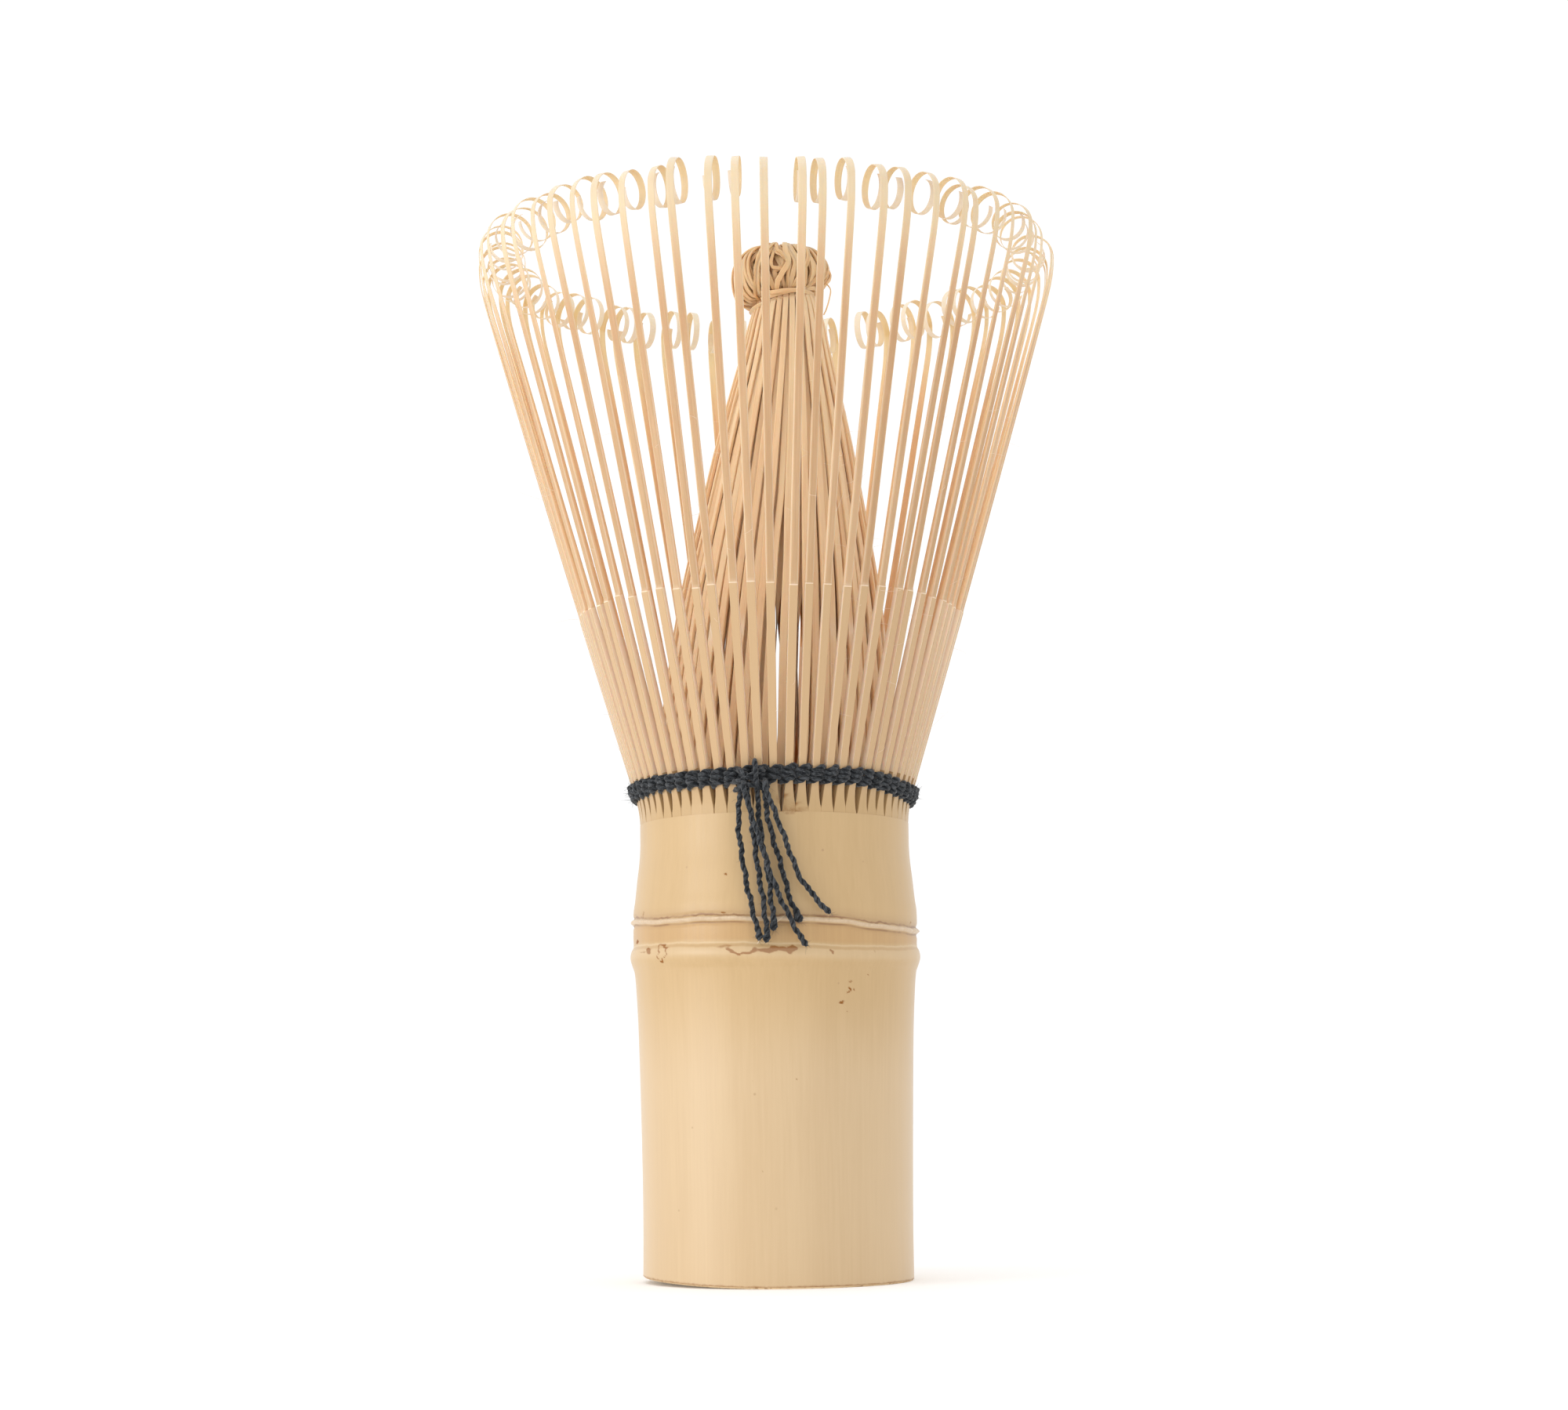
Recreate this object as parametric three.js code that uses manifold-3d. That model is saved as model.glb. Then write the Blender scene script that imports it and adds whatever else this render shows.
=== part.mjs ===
// Bamboo tea whisk (chasen), standing on the cut end of its handle.
// Millimetres, +Z up, origin at the centre of the handle's base. The thread's knot faces -Y.
//
// One bamboo culm is split above its node into 16 wedges. Each wedge is split again into
// 4 wide outer tines, which splay out and curl in at the tip, and 4 narrow inner tines,
// which are gathered to a neck and wound into a knot. A black thread is twined round the
// outer tines just above the slits, and its ends hang down the front of the culm.

import * as THREE from "three";
import { mergeVertices } from "three/addons/utils/BufferGeometryUtils.js";
import Module from "manifold-3d";

// ---- driving dimensions ----
const GAP = 0.3; // between touching pieces
const WEDGES = 16; // first splits of the culm
const TINES_PER_WEDGE = 4;
const TINE_COUNT = WEDGES * TINES_PER_WEDGE;
const TURN = 2 * Math.PI;
const DEGREE = Math.PI / 180;

// Culm: outer radius by height, from the base to the foot of the tines.
const CULM_PROFILE = [
  [13.97, 0],
  [14.0, 12],
  [14.2, 20],
  [14.36, 25.5],
  [14.7, 31],
  [15.2, 33.3], // nodal ridge
  [14.86, 34.5],
  [15.08, 37.2], // sheath scar
  [14.7, 39.4],
  [14.3, 43],
  [14.15, 44.2],
];
const CULM_SIDES = 32;
const CULM_TOP = 44.2;
const BORE_RADIUS = 11.2;
const UPPER_BORE_RADIUS = 11.6;
const SEPTUM_BOTTOM = 33; // the node's partition closes the bore
const SEPTUM_TOP = 35.5;

// Outer tines: the skin side of the tine is the line that the others are measured from.
const ROOT_RADIUS = 14.2; // skin at the foot of the tines
const ROOT_Z = 46.3;
const SLIT_Z = 46.8; // bottom of the slits
const FOOT_RADII = [13.2, 14.1]; // the unslit foot below the tines, inside and outside
const ROOT_STRAIGHT = 1;
const ROOT_BEND = 2.8;
const SPLAY = 17 * DEGREE; // heading above the root, out from vertical
const SPLAY_AT_SHOULDER = 15.8 * DEGREE;
const STRAIGHT = 55.15; // length from the root bend to the shoulder
const SHOULDER = 5.5; // length over which the tine comes back to vertical
const CURL_RADIUS_START = 2.8;
const CURL_RADIUS_END = 1.75;
const CURL_TURN = 385 * DEGREE;

// Width along the rim and thickness towards the axis, by height.
const TINE_WIDTH = [
  [46, 0.8],
  [60, 0.84],
  [76, 0.82],
  [95, 0.7],
  [106, 0.66],
];
const TINE_THICKNESS = [
  [46, 0.95],
  [60, 0.72],
  [76, 0.5],
  [95, 0.32],
  [106, 0.22],
];

// Inner tines: outside of the bundle by height.
const NECK_Z = 103.7;
const INNER_PROFILE = [
  [12.4, CULM_TOP + GAP],
  [12.2, 53],
  [11.7, 62],
  [10.3, 72],
  [6.6, 90],
  [4, NECK_Z],
];
const INNER_THICKNESS = 0.6;
const NECK_SHIFT = 1.9; // the bundle leans this far to +X at its neck

// Knot of the inner tines' tips.
const KNOT_X = 1.4;
const KNOT_Z = 107.4;
const KNOT_RADIUS = 5.4;
const KNOT_HALF_HEIGHT = 3.4;

// Thread.
const THREAD_Z = 50.75;
const THREAD_HALF_HEIGHT = 0.9;
const THREAD_OUTER = 15.8;
const THREAD_INNER = 13;
const THREAD_CLEARANCE = 0.35; // round each tine, so that it can flex
const TAIL_DIAMETER = 0.5;
const CROWN_SHIFT = -0.45; // the crown leans this far along X at its rim
const RIM_Z = 107;
const CROWN_TURN = -2.6 * DEGREE; // how far the first slit stands from +X

// Each hanging end: x, height and lift off the first layer, from the knot down.
const TAIL_ROUTES = [
  [[-3.3, 49.3, 0], [-3.55, 46.3, 0], [-3.35, 43.8, 0], [-2.95, 41, 0], [-2.4, 38.2, 0], [-1.45, 34.2, 0]],
  [[-2.65, 49.3, 0], [-2.2, 46.3, 0], [-1.85, 43.2, 0], [-1.5, 40.6, 0], [-1.05, 37.6, 0], [-0.7, 34, 0]],
  [[-1.6, 49.3, 0], [-1.45, 46.4, 0], [-1.05, 43.4, 0], [-0.55, 40.6, 0], [-0.3, 37.9, 0], [0.05, 35.2, 0]],
  [[-2.95, 49.3, 0.75], [-2.1, 46.4, 0.75], [-1, 42.9, 0.75], [0.05, 39.7, 0.6], [1.6, 36.3, 0.3], [3.1, 33.6, 0]],
  [[-0.9, 49.3, 0], [-0.55, 46.4, 0], [0.2, 43.4, 0], [0.9, 41, 0], [1.45, 38.7, 0], [2.55, 36, 0]],
  [[-0.75, 49.3, 0.75], [0.35, 46.4, 0.6], [1.35, 43.7, 0.3], [2.45, 40.8, 0], [3.9, 38.7, 0], [5.55, 36.9, 0]],
];
// Distance of the first layer from the axis, by height: it hangs from the thread to the node.
const TAIL_PROFILE = [
  [34, 15.85],
  [37.2, 15.85],
  [42, 15.6],
  [46, 15.6],
  [49.5, 16.2],
];

// ---- materials ----
const bamboo = new THREE.MeshStandardMaterial({ color: 0xe0c494, roughness: 0.5, metalness: 0 });
const shaved = new THREE.MeshStandardMaterial({ color: 0xdcb384, roughness: 0.65, metalness: 0 });
const cotton = new THREE.MeshStandardMaterial({ color: 0x22282d, roughness: 0.95, metalness: 0 });

// ---- small tools ----
const wasm = await Module();
wasm.setup();

// A geometry as a manifold-3d solid.
function solidOf(geometry) {
  const bare = geometry.index ? geometry.toNonIndexed() : geometry.clone();
  bare.deleteAttribute("normal");
  bare.deleteAttribute("uv");
  const merged = mergeVertices(bare, 1e-4);
  return new wasm.Manifold(
    new wasm.Mesh({
      numProp: 3,
      vertProperties: new Float32Array(merged.attributes.position.array),
      triVerts: new Uint32Array(merged.index.array),
    }),
  );
}

// A manifold-3d solid as a geometry.
function geometryOf(solid) {
  const mesh = solid.getMesh();
  const geometry = new THREE.BufferGeometry();
  const positions = new THREE.BufferAttribute(new Float32Array(mesh.vertProperties), 3);
  geometry.setAttribute("position", positions);
  geometry.setIndex(new THREE.BufferAttribute(new Uint32Array(mesh.triVerts), 1));
  geometry.computeVertexNormals();
  return geometry;
}

const joined = (solids) => solids.reduce((a, b) => a.add(b));

// Piecewise linear value of a [[x, value], ...] list.
function at(list, x) {
  if (x <= list[0][0]) return list[0][1];
  for (let i = 1; i < list.length; i++) {
    const [x0, v0] = list[i - 1];
    const [x1, v1] = list[i];
    if (x <= x1) return v0 + ((v1 - v0) * (x - x0)) / (x1 - x0);
  }
  return list[list.length - 1][1];
}

// How far a tine strays from its even place, at most.
const STRAY_AZIMUTH = 0.3 * DEGREE;
const STRAY_LEAN = 0.7 * DEGREE;
const STRAY_SPLAY = 0.3 * DEGREE;
const LEAN_PATTERN = 30559; // which of the irregular patterns the sideways lean follows

// Hand-made irregularity: the same number from -1 to 1 for the same piece and kind every time.
function vary(index, kind) {
  const x = Math.sin(index * 12.9898 + kind * 78.233) * 43758.5453;
  return 2 * (x - Math.floor(x)) - 1;
}

const nodeNumber = (i) => String(i + 1).padStart(2, "0");

// ---- culm ----
function makeCulm() {
  const outline = [
    [BORE_RADIUS, 0],
    ...CULM_PROFILE,
    [UPPER_BORE_RADIUS, CULM_TOP],
    [UPPER_BORE_RADIUS, SEPTUM_TOP],
    [0, SEPTUM_TOP],
    [0, SEPTUM_BOTTOM],
    [BORE_RADIUS, SEPTUM_BOTTOM],
    [BORE_RADIUS, 0],
  ].map(([r, z]) => new THREE.Vector2(r, z));
  const geometry = new THREE.LatheGeometry(outline, CULM_SIDES);
  return geometry.rotateX(Math.PI / 2); // the lathe turns about Y
}

// ---- outer tines ----
// The tine's skin line in its own plane, from root to tip: x is the distance from the axis,
// y the height, and heading the lean outwards from vertical.
function tineLine(k) {
  const splay = SPLAY + STRAY_SPLAY * vary(k, 3);
  const straight = STRAIGHT + 0.3 * vary(k, 4);
  const curlScale = 1 + 0.08 * vary(k, 5);
  const turn = CURL_TURN + 40 * DEGREE * vary(k, 6);
  // Stretches as [length, curvature at the start, curvature at the end, steps].
  const bend = splay / ROOT_BEND;
  const bow = (SPLAY - SPLAY_AT_SHOULDER) / straight;
  const lean = splay - (SPLAY - SPLAY_AT_SHOULDER);
  const tight = [1 / (CURL_RADIUS_START * curlScale), 1 / (CURL_RADIUS_END * curlScale)];
  const curl = (2 * turn) / (tight[0] + tight[1]);
  const stretches = [
    [ROOT_STRAIGHT, 0, 0, 1],
    [ROOT_BEND, bend, bend, 1],
    [straight, -bow, -bow, 2],
    [SHOULDER, 0, (-2 * lean) / SHOULDER, 2],
    [curl, -tight[0], -tight[1], 7],
  ];
  const line = [{ x: ROOT_RADIUS, y: ROOT_Z, heading: 0 }];
  for (const [length, k0, k1, steps] of stretches) {
    const fine = 12; // integration steps inside each step
    for (let i = 0; i < steps; i++) {
      let { x, y, heading } = line[line.length - 1];
      for (let j = 0; j < fine; j++) {
        const share = (i + (j + 0.5) / fine) / steps;
        const ds = length / steps / fine;
        const change = (k0 + (k1 - k0) * share) * ds;
        x += Math.sin(heading + change / 2) * ds;
        y += Math.cos(heading + change / 2) * ds;
        heading += change;
      }
      line.push({ x, y, heading });
    }
  }
  return line;
}

// Tine k: its side outline extruded to its width, then leant, shifted and turned into place.
function makeTine(k) {
  const line = tineLine(k);
  const back = line.map(({ x, y, heading }) => {
    const t = at(TINE_THICKNESS, y);
    return new THREE.Vector2(x - t * Math.cos(heading), y + t * Math.sin(heading));
  });
  const skin = line.map(({ x, y }) => new THREE.Vector2(x, y));
  const shape = new THREE.Shape([...skin, ...back.reverse()]);
  const geometry = new THREE.ExtrudeGeometry(shape, { depth: 1, bevelEnabled: false });
  geometry.translate(0, 0, -0.5);
  const p = geometry.attributes.position;
  for (let i = 0; i < p.count; i++) p.setZ(i, p.getZ(i) * at(TINE_WIDTH, p.getY(i)));
  geometry.rotateX(Math.PI / 2); // the outline's height becomes Z
  geometry.translate(0, 0, -ROOT_Z).rotateX(-STRAY_LEAN * vary(k, LEAN_PATTERN)).translate(0, 0, ROOT_Z);
  geometry.rotateZ(tineAzimuth(k));
  return shiftCrown(geometry);
}

// Direction of tine k from the axis.
function tineAzimuth(k) {
  return ((k + 0.5) * TURN) / TINE_COUNT + CROWN_TURN + STRAY_AZIMUTH * vary(k, 1);
}

// The crown leans a little along X, more with height.
function shiftCrown(geometry) {
  const p = geometry.attributes.position;
  for (let i = 0; i < p.count; i++) {
    const share = Math.max(0, p.getZ(i) - SLIT_Z) / (RIM_Z - SLIT_Z);
    p.setX(i, p.getX(i) + CROWN_SHIFT * share);
  }
  return geometry;
}

// A wall of the culm between two directions, from one height to another.
function makeWallSector(inner, outer, start, end, low, high) {
  const shape = new THREE.Shape();
  shape.absarc(0, 0, outer, start, end, false);
  shape.absarc(0, 0, inner, end, start, true);
  const options = { depth: high - low, bevelEnabled: false, curveSegments: 4 };
  return new THREE.ExtrudeGeometry(shape, options).translate(0, 0, low);
}

// Wedge w: four tines on the unslit foot that joins them.
function makeOuterWedge(w) {
  const side = GAP / 2 / ROOT_RADIUS;
  const start = (w * TURN) / WEDGES + CROWN_TURN + side;
  const end = ((w + 1) * TURN) / WEDGES + CROWN_TURN - side;
  const foot = makeWallSector(...FOOT_RADII, start, end, CULM_TOP + GAP, SLIT_Z);
  const tines = [];
  for (let i = 0; i < TINES_PER_WEDGE; i++) tines.push(makeTine(w * TINES_PER_WEDGE + i));
  return geometryOf(joined([foot, ...tines].map(solidOf)));
}

// ---- inner tines ----
// Wedge w of the inner bundle: one bent, tapering strip from the culm to the neck.
function makeInnerWedge(w) {
  const outline = INNER_PROFILE.map(([r, z]) => new THREE.Vector2(r, z));
  const back = INNER_PROFILE.map(([r, z]) => new THREE.Vector2(r - INNER_THICKNESS, z));
  const shape = new THREE.Shape([...outline, ...back.reverse()]);
  const geometry = new THREE.ExtrudeGeometry(shape, { depth: 1, bevelEnabled: false });
  geometry.translate(0, 0, -0.5);
  const p = geometry.attributes.position;
  for (let i = 0; i < p.count; i++) {
    const width = 2 * p.getX(i) * Math.tan(Math.PI / WEDGES) - GAP;
    p.setZ(i, p.getZ(i) * width);
  }
  geometry.rotateX(Math.PI / 2);
  geometry.rotateZ(((w + 0.5) * TURN) / WEDGES);
  for (let i = 0; i < p.count; i++) {
    const share = (p.getZ(i) - CULM_TOP) / (NECK_Z - CULM_TOP);
    p.setX(i, p.getX(i) + NECK_SHIFT * share);
  }
  return geometry;
}

// The wound tips: a flattened ball standing on the neck.
function makeInnerKnot() {
  const steps = 12;
  const outline = [];
  for (let i = 0; i <= steps; i++) {
    const a = -Math.PI / 2 + (Math.PI * i) / steps;
    const z = KNOT_Z + KNOT_HALF_HEIGHT * Math.sin(a);
    outline.push(new THREE.Vector2(i % steps ? KNOT_RADIUS * Math.cos(a) : 0, z));
  }
  const geometry = new THREE.LatheGeometry(outline, 24).rotateX(Math.PI / 2);
  return geometry.translate(KNOT_X, 0, 0);
}

// ---- thread ----
// The twined band: a ring with an opening for each outer tine.
function makeThreadBand(tines) {
  const low = THREAD_Z - THREAD_HALF_HEIGHT;
  const high = THREAD_Z + THREAD_HALF_HEIGHT;
  const outline = [
    [THREAD_INNER, low],
    [THREAD_OUTER, low],
    [THREAD_OUTER, high],
    [THREAD_INNER, high],
    [THREAD_INNER, low],
  ].map(([r, z]) => new THREE.Vector2(r, z));
  const ring = new THREE.LatheGeometry(outline, TINE_COUNT).rotateX(Math.PI / 2);
  return geometryOf(solidOf(ring).subtract(joined(tines)));
}

// What a tine sweeps at the thread's height, with clearance all round.
function makeTineSleeve(k) {
  const low = THREAD_Z - THREAD_HALF_HEIGHT - 0.5;
  const high = THREAD_Z + THREAD_HALF_HEIGHT + 0.5;
  const skinAt = (z) => ROOT_RADIUS + Math.tan(SPLAY) * (z - ROOT_Z - ROOT_STRAIGHT - ROOT_BEND / 2);
  const thickness = at(TINE_THICKNESS, THREAD_Z) + 0.05;
  const width = at(TINE_WIDTH, THREAD_Z) + 0.36;
  const shape = new THREE.Shape([
    new THREE.Vector2(skinAt(low) + THREAD_CLEARANCE, low),
    new THREE.Vector2(skinAt(high) + THREAD_CLEARANCE, high),
    new THREE.Vector2(skinAt(high) - thickness - THREAD_CLEARANCE, high),
    new THREE.Vector2(skinAt(low) - thickness - THREAD_CLEARANCE, low),
  ]);
  const geometry = new THREE.ExtrudeGeometry(shape, { depth: width, bevelEnabled: false });
  geometry.translate(0, 0, -width / 2).rotateX(Math.PI / 2).rotateZ(tineAzimuth(k));
  return shiftCrown(geometry);
}

// The tied knot, a rounded block on the front of the band.
function makeThreadKnot() {
  const width = 3.6;
  const height = 2.2;
  const depth = 1;
  const corner = 0.5;
  const shape = new THREE.Shape();
  shape.moveTo(-width / 2 + corner, -height / 2);
  shape.lineTo(width / 2 - corner, -height / 2);
  shape.quadraticCurveTo(width / 2, -height / 2, width / 2, -height / 2 + corner);
  shape.lineTo(width / 2, height / 2 - corner);
  shape.quadraticCurveTo(width / 2, height / 2, width / 2 - corner, height / 2);
  shape.lineTo(-width / 2 + corner, height / 2);
  shape.quadraticCurveTo(-width / 2, height / 2, -width / 2, height / 2 - corner);
  shape.lineTo(-width / 2, -height / 2 + corner);
  shape.quadraticCurveTo(-width / 2, -height / 2, -width / 2 + corner, -height / 2);
  const options = { depth, bevelEnabled: false, curveSegments: 3 };
  const geometry = new THREE.ExtrudeGeometry(shape, options).rotateX(Math.PI / 2);
  return geometry.translate(-2.2, -THREAD_OUTER - GAP, THREAD_Z);
}

// One hanging end, from under the knot down the front of the culm.
function makeTail(route) {
  const points = route.map(([x, z, lift]) => {
    const r = at(TAIL_PROFILE, z) + lift;
    return new THREE.Vector3(x, -Math.sqrt(r * r - x * x), z);
  });
  const circle = new THREE.Shape();
  circle.absarc(0, 0, TAIL_DIAMETER / 2, 0, TURN, false);
  return new THREE.ExtrudeGeometry(circle, {
    extrudePath: new THREE.CatmullRomCurve3(points),
    steps: 9,
    curveSegments: 4,
    bevelEnabled: false,
  });
}

// ---- assembly ----
const whisk = new THREE.Group();

function add(name, geometry, material) {
  const mesh = new THREE.Mesh(geometry, material);
  mesh.name = name;
  whisk.add(mesh);
}

add("culm_handle", makeCulm(), bamboo);
for (let w = 0; w < WEDGES; w++) add(`outer_tines_${nodeNumber(w)}`, makeOuterWedge(w), bamboo);
for (let w = 0; w < WEDGES; w++) add(`inner_tines_${nodeNumber(w)}`, makeInnerWedge(w), shaved);
add("inner_tine_knot", makeInnerKnot(), shaved);
const sleeves = [];
for (let k = 0; k < TINE_COUNT; k++) sleeves.push(solidOf(makeTineSleeve(k)));
add("thread_band", makeThreadBand(sleeves), cotton);
add("thread_knot", makeThreadKnot(), cotton);
TAIL_ROUTES.forEach((route, i) => add(`thread_tail_${nodeNumber(i)}`, makeTail(route), cotton));

export default whisk;
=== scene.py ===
"""Bamboo tea whisk (chasen): its looks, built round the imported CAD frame.

Shapes are worked out in millimetres, in the row frame, and become metres when a mesh is made.
The whisk stands on z = 0, and the knot of its thread faces -Y. Azimuths start at +X.
"""

import math
import random

import bmesh
import bpy
import numpy as np
from mathutils import Matrix, Vector


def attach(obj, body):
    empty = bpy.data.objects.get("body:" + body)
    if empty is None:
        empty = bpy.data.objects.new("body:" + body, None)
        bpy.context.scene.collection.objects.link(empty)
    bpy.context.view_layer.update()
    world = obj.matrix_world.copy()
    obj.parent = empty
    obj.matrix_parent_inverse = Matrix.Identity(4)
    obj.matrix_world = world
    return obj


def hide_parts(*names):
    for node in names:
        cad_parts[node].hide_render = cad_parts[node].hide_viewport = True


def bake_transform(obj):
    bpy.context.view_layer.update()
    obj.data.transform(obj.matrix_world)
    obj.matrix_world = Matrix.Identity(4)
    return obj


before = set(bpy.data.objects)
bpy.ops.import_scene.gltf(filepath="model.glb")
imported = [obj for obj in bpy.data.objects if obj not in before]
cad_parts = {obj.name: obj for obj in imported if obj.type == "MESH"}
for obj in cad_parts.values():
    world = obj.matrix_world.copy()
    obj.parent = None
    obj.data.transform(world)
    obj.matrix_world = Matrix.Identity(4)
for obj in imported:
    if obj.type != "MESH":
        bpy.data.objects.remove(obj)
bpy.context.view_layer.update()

MM = 0.001
TURN = 2 * math.pi
DEGREE = math.pi / 180
FRONT = -90 * DEGREE  # azimuth of the thread's knot

# ---- dimensions shared with the CAD part, in millimetres ----
WEDGES = 16
TINES_PER_WEDGE = 4
TINE_COUNT = WEDGES * TINES_PER_WEDGE
PITCH = TURN / TINE_COUNT
ROOT_RADIUS = 14.2
ROOT_Z = 46.3
SLIT_Z = 46.8
ROOT_STRAIGHT = 1
ROOT_BEND = 2.8
SPLAY = 17 * DEGREE
SPLAY_AT_SHOULDER = 15.8 * DEGREE
STRAIGHT = 55.15
SHOULDER = 5.5
CURL_RADIUS_START = 2.8
CURL_RADIUS_END = 1.75
CURL_TURN = 385 * DEGREE
STRAY_AZIMUTH = 0.3 * DEGREE
STRAY_LEAN = 0.7 * DEGREE
STRAY_SPLAY = 0.3 * DEGREE
LEAN_PATTERN = 30559
CROWN_TURN = -2.6 * DEGREE
CROWN_SHIFT = -0.45
RIM_Z = 107
NECK_SHIFT = 1.9
NECK_Z = 103.7
KNOT_X = 1.4
KNOT_Z = 107.4
KNOT_RADIUS = 5.4
KNOT_HALF_HEIGHT = 3.4
THREAD_Z = 50.75

# Each hanging end: x, height and lift off the first layer, from the knot down.
TAIL_ROUTES = [
    [
        (-3.3, 49.3, 0), (-3.55, 46.3, 0), (-3.35, 43.8, 0),
        (-2.95, 41, 0), (-2.4, 38.2, 0), (-1.45, 34.2, 0),
    ],
    [
        (-2.65, 49.3, 0), (-2.2, 46.3, 0), (-1.85, 43.2, 0),
        (-1.5, 40.6, 0), (-1.05, 37.6, 0), (-0.7, 34, 0),
    ],
    [
        (-1.6, 49.3, 0), (-1.45, 46.4, 0), (-1.05, 43.4, 0),
        (-0.55, 40.6, 0), (-0.3, 37.9, 0), (0.05, 35.2, 0),
    ],
    [
        (-2.95, 49.3, 0.75), (-2.1, 46.4, 0.75), (-1, 42.9, 0.75),
        (0.05, 39.7, 0.6), (1.6, 36.3, 0.3), (3.1, 33.6, 0),
    ],
    [
        (-0.9, 49.3, 0), (-0.55, 46.4, 0), (0.2, 43.4, 0),
        (0.9, 41, 0), (1.45, 38.7, 0), (2.55, 36, 0),
    ],
    [
        (-0.75, 49.3, 0.75), (0.35, 46.4, 0.6), (1.35, 43.7, 0.3),
        (2.45, 40.8, 0), (3.9, 38.7, 0), (5.55, 36.9, 0),
    ],
]
TAIL_PROFILE = [(34, 15.85), (37.2, 15.85), (42, 15.6), (46, 15.6), (49.5, 16.2)]

# ---- looks, in millimetres ----
# The culm's skin by height, without the bead of the sheath scar.
CULM_OUTLINE = [(0, 13.96), (8, 13.98), (17, 14.13), (25.5, 14.35), (29.5, 14.55), (31.8, 14.75)]
CULM_OUTLINE += [(32.6, 15.02), (33.3, 15.19), (33.95, 15.1), (34.45, 14.87), (35.5, 14.88), (38, 14.88)]
CULM_OUTLINE += [(39.4, 14.7), (41.5, 14.48), (43.5, 14.25), (45.3, 14.16), (47.4, ROOT_RADIUS)]
HANDLE_TOP = 47.3
BORE_RADIUS = 11.2
UPPER_BORE_RADIUS = 11.6
SEPTUM_BOTTOM = 33
SEPTUM_TOP = 35.5
MARK_Z = 69.5  # the skin is shaved off above this line


# ---- numbers ----
def vary(index, kind):
    """Hand-made irregularity: the same number from -1 to 1 for the same piece and kind every time."""
    x = math.sin(index * 12.9898 + kind * 78.233) * 43758.5453
    return 2 * (x - math.floor(x)) - 1


def lerp(a, b, share):
    return a + (b - a) * share


def smooth(low, high, x):
    """0 below low, 1 above high, with a soft passage between."""
    t = min(max((x - low) / (high - low), 0), 1)
    return t * t * (3 - 2 * t)


def bump(x, centre, width):
    return math.exp(-(((x - centre) / width) ** 2))


def angle_from(azimuth, reference):
    """The signed angle between two azimuths, the short way round."""
    return (azimuth - reference + math.pi) % TURN - math.pi


def curve_at(points, x):
    """Smooth curve through a list of (x, value)."""
    if x <= points[0][0]:
        return points[0][1]
    if x >= points[-1][0]:
        return points[-1][1]
    i = next(n for n in range(1, len(points)) if x <= points[n][0]) - 1

    def slope(n):
        a, b = points[max(n - 1, 0)], points[min(n + 1, len(points) - 1)]
        return (b[1] - a[1]) / (b[0] - a[0])

    (x0, y0), (x1, y1) = points[i], points[i + 1]
    h = x1 - x0
    t = (x - x0) / h
    a = y0 * (1 + 2 * t) * (1 - t) ** 2 + h * slope(i) * t * (1 - t) ** 2
    return a + y1 * t * t * (3 - 2 * t) + h * slope(i + 1) * t * t * (t - 1)


def spline(points, per_span):
    """Catmull-Rom curve through points, as an array."""
    p = np.array([points[0], *points, points[-1]], float)
    out = []
    for i in range(1, len(p) - 2):
        for t in np.linspace(0, 1, per_span, endpoint=False):
            a, b, c, d = p[i - 1], p[i], p[i + 1], p[i + 2]
            curved = (2 * a - 5 * b + 4 * c - d) * t**2 + (3 * b - a - 3 * c + d) * t**3
            out.append(0.5 * (2 * b + (c - a) * t + curved))
    out.append(p[-1])
    return np.array(out)


def unit(v):
    return v / np.maximum(np.linalg.norm(v, axis=-1, keepdims=True), 1e-9)


# ---- meshes ----
def add_object(name, data):
    thing = bpy.data.objects.new(name, data)
    bpy.context.scene.collection.objects.link(thing)
    return thing


def add_vectors(mesh, name, values):
    attribute = mesh.attributes.new(name, "FLOAT_VECTOR", "POINT")
    attribute.data.foreach_set("vector", np.array(values, np.float32).ravel())


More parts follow.
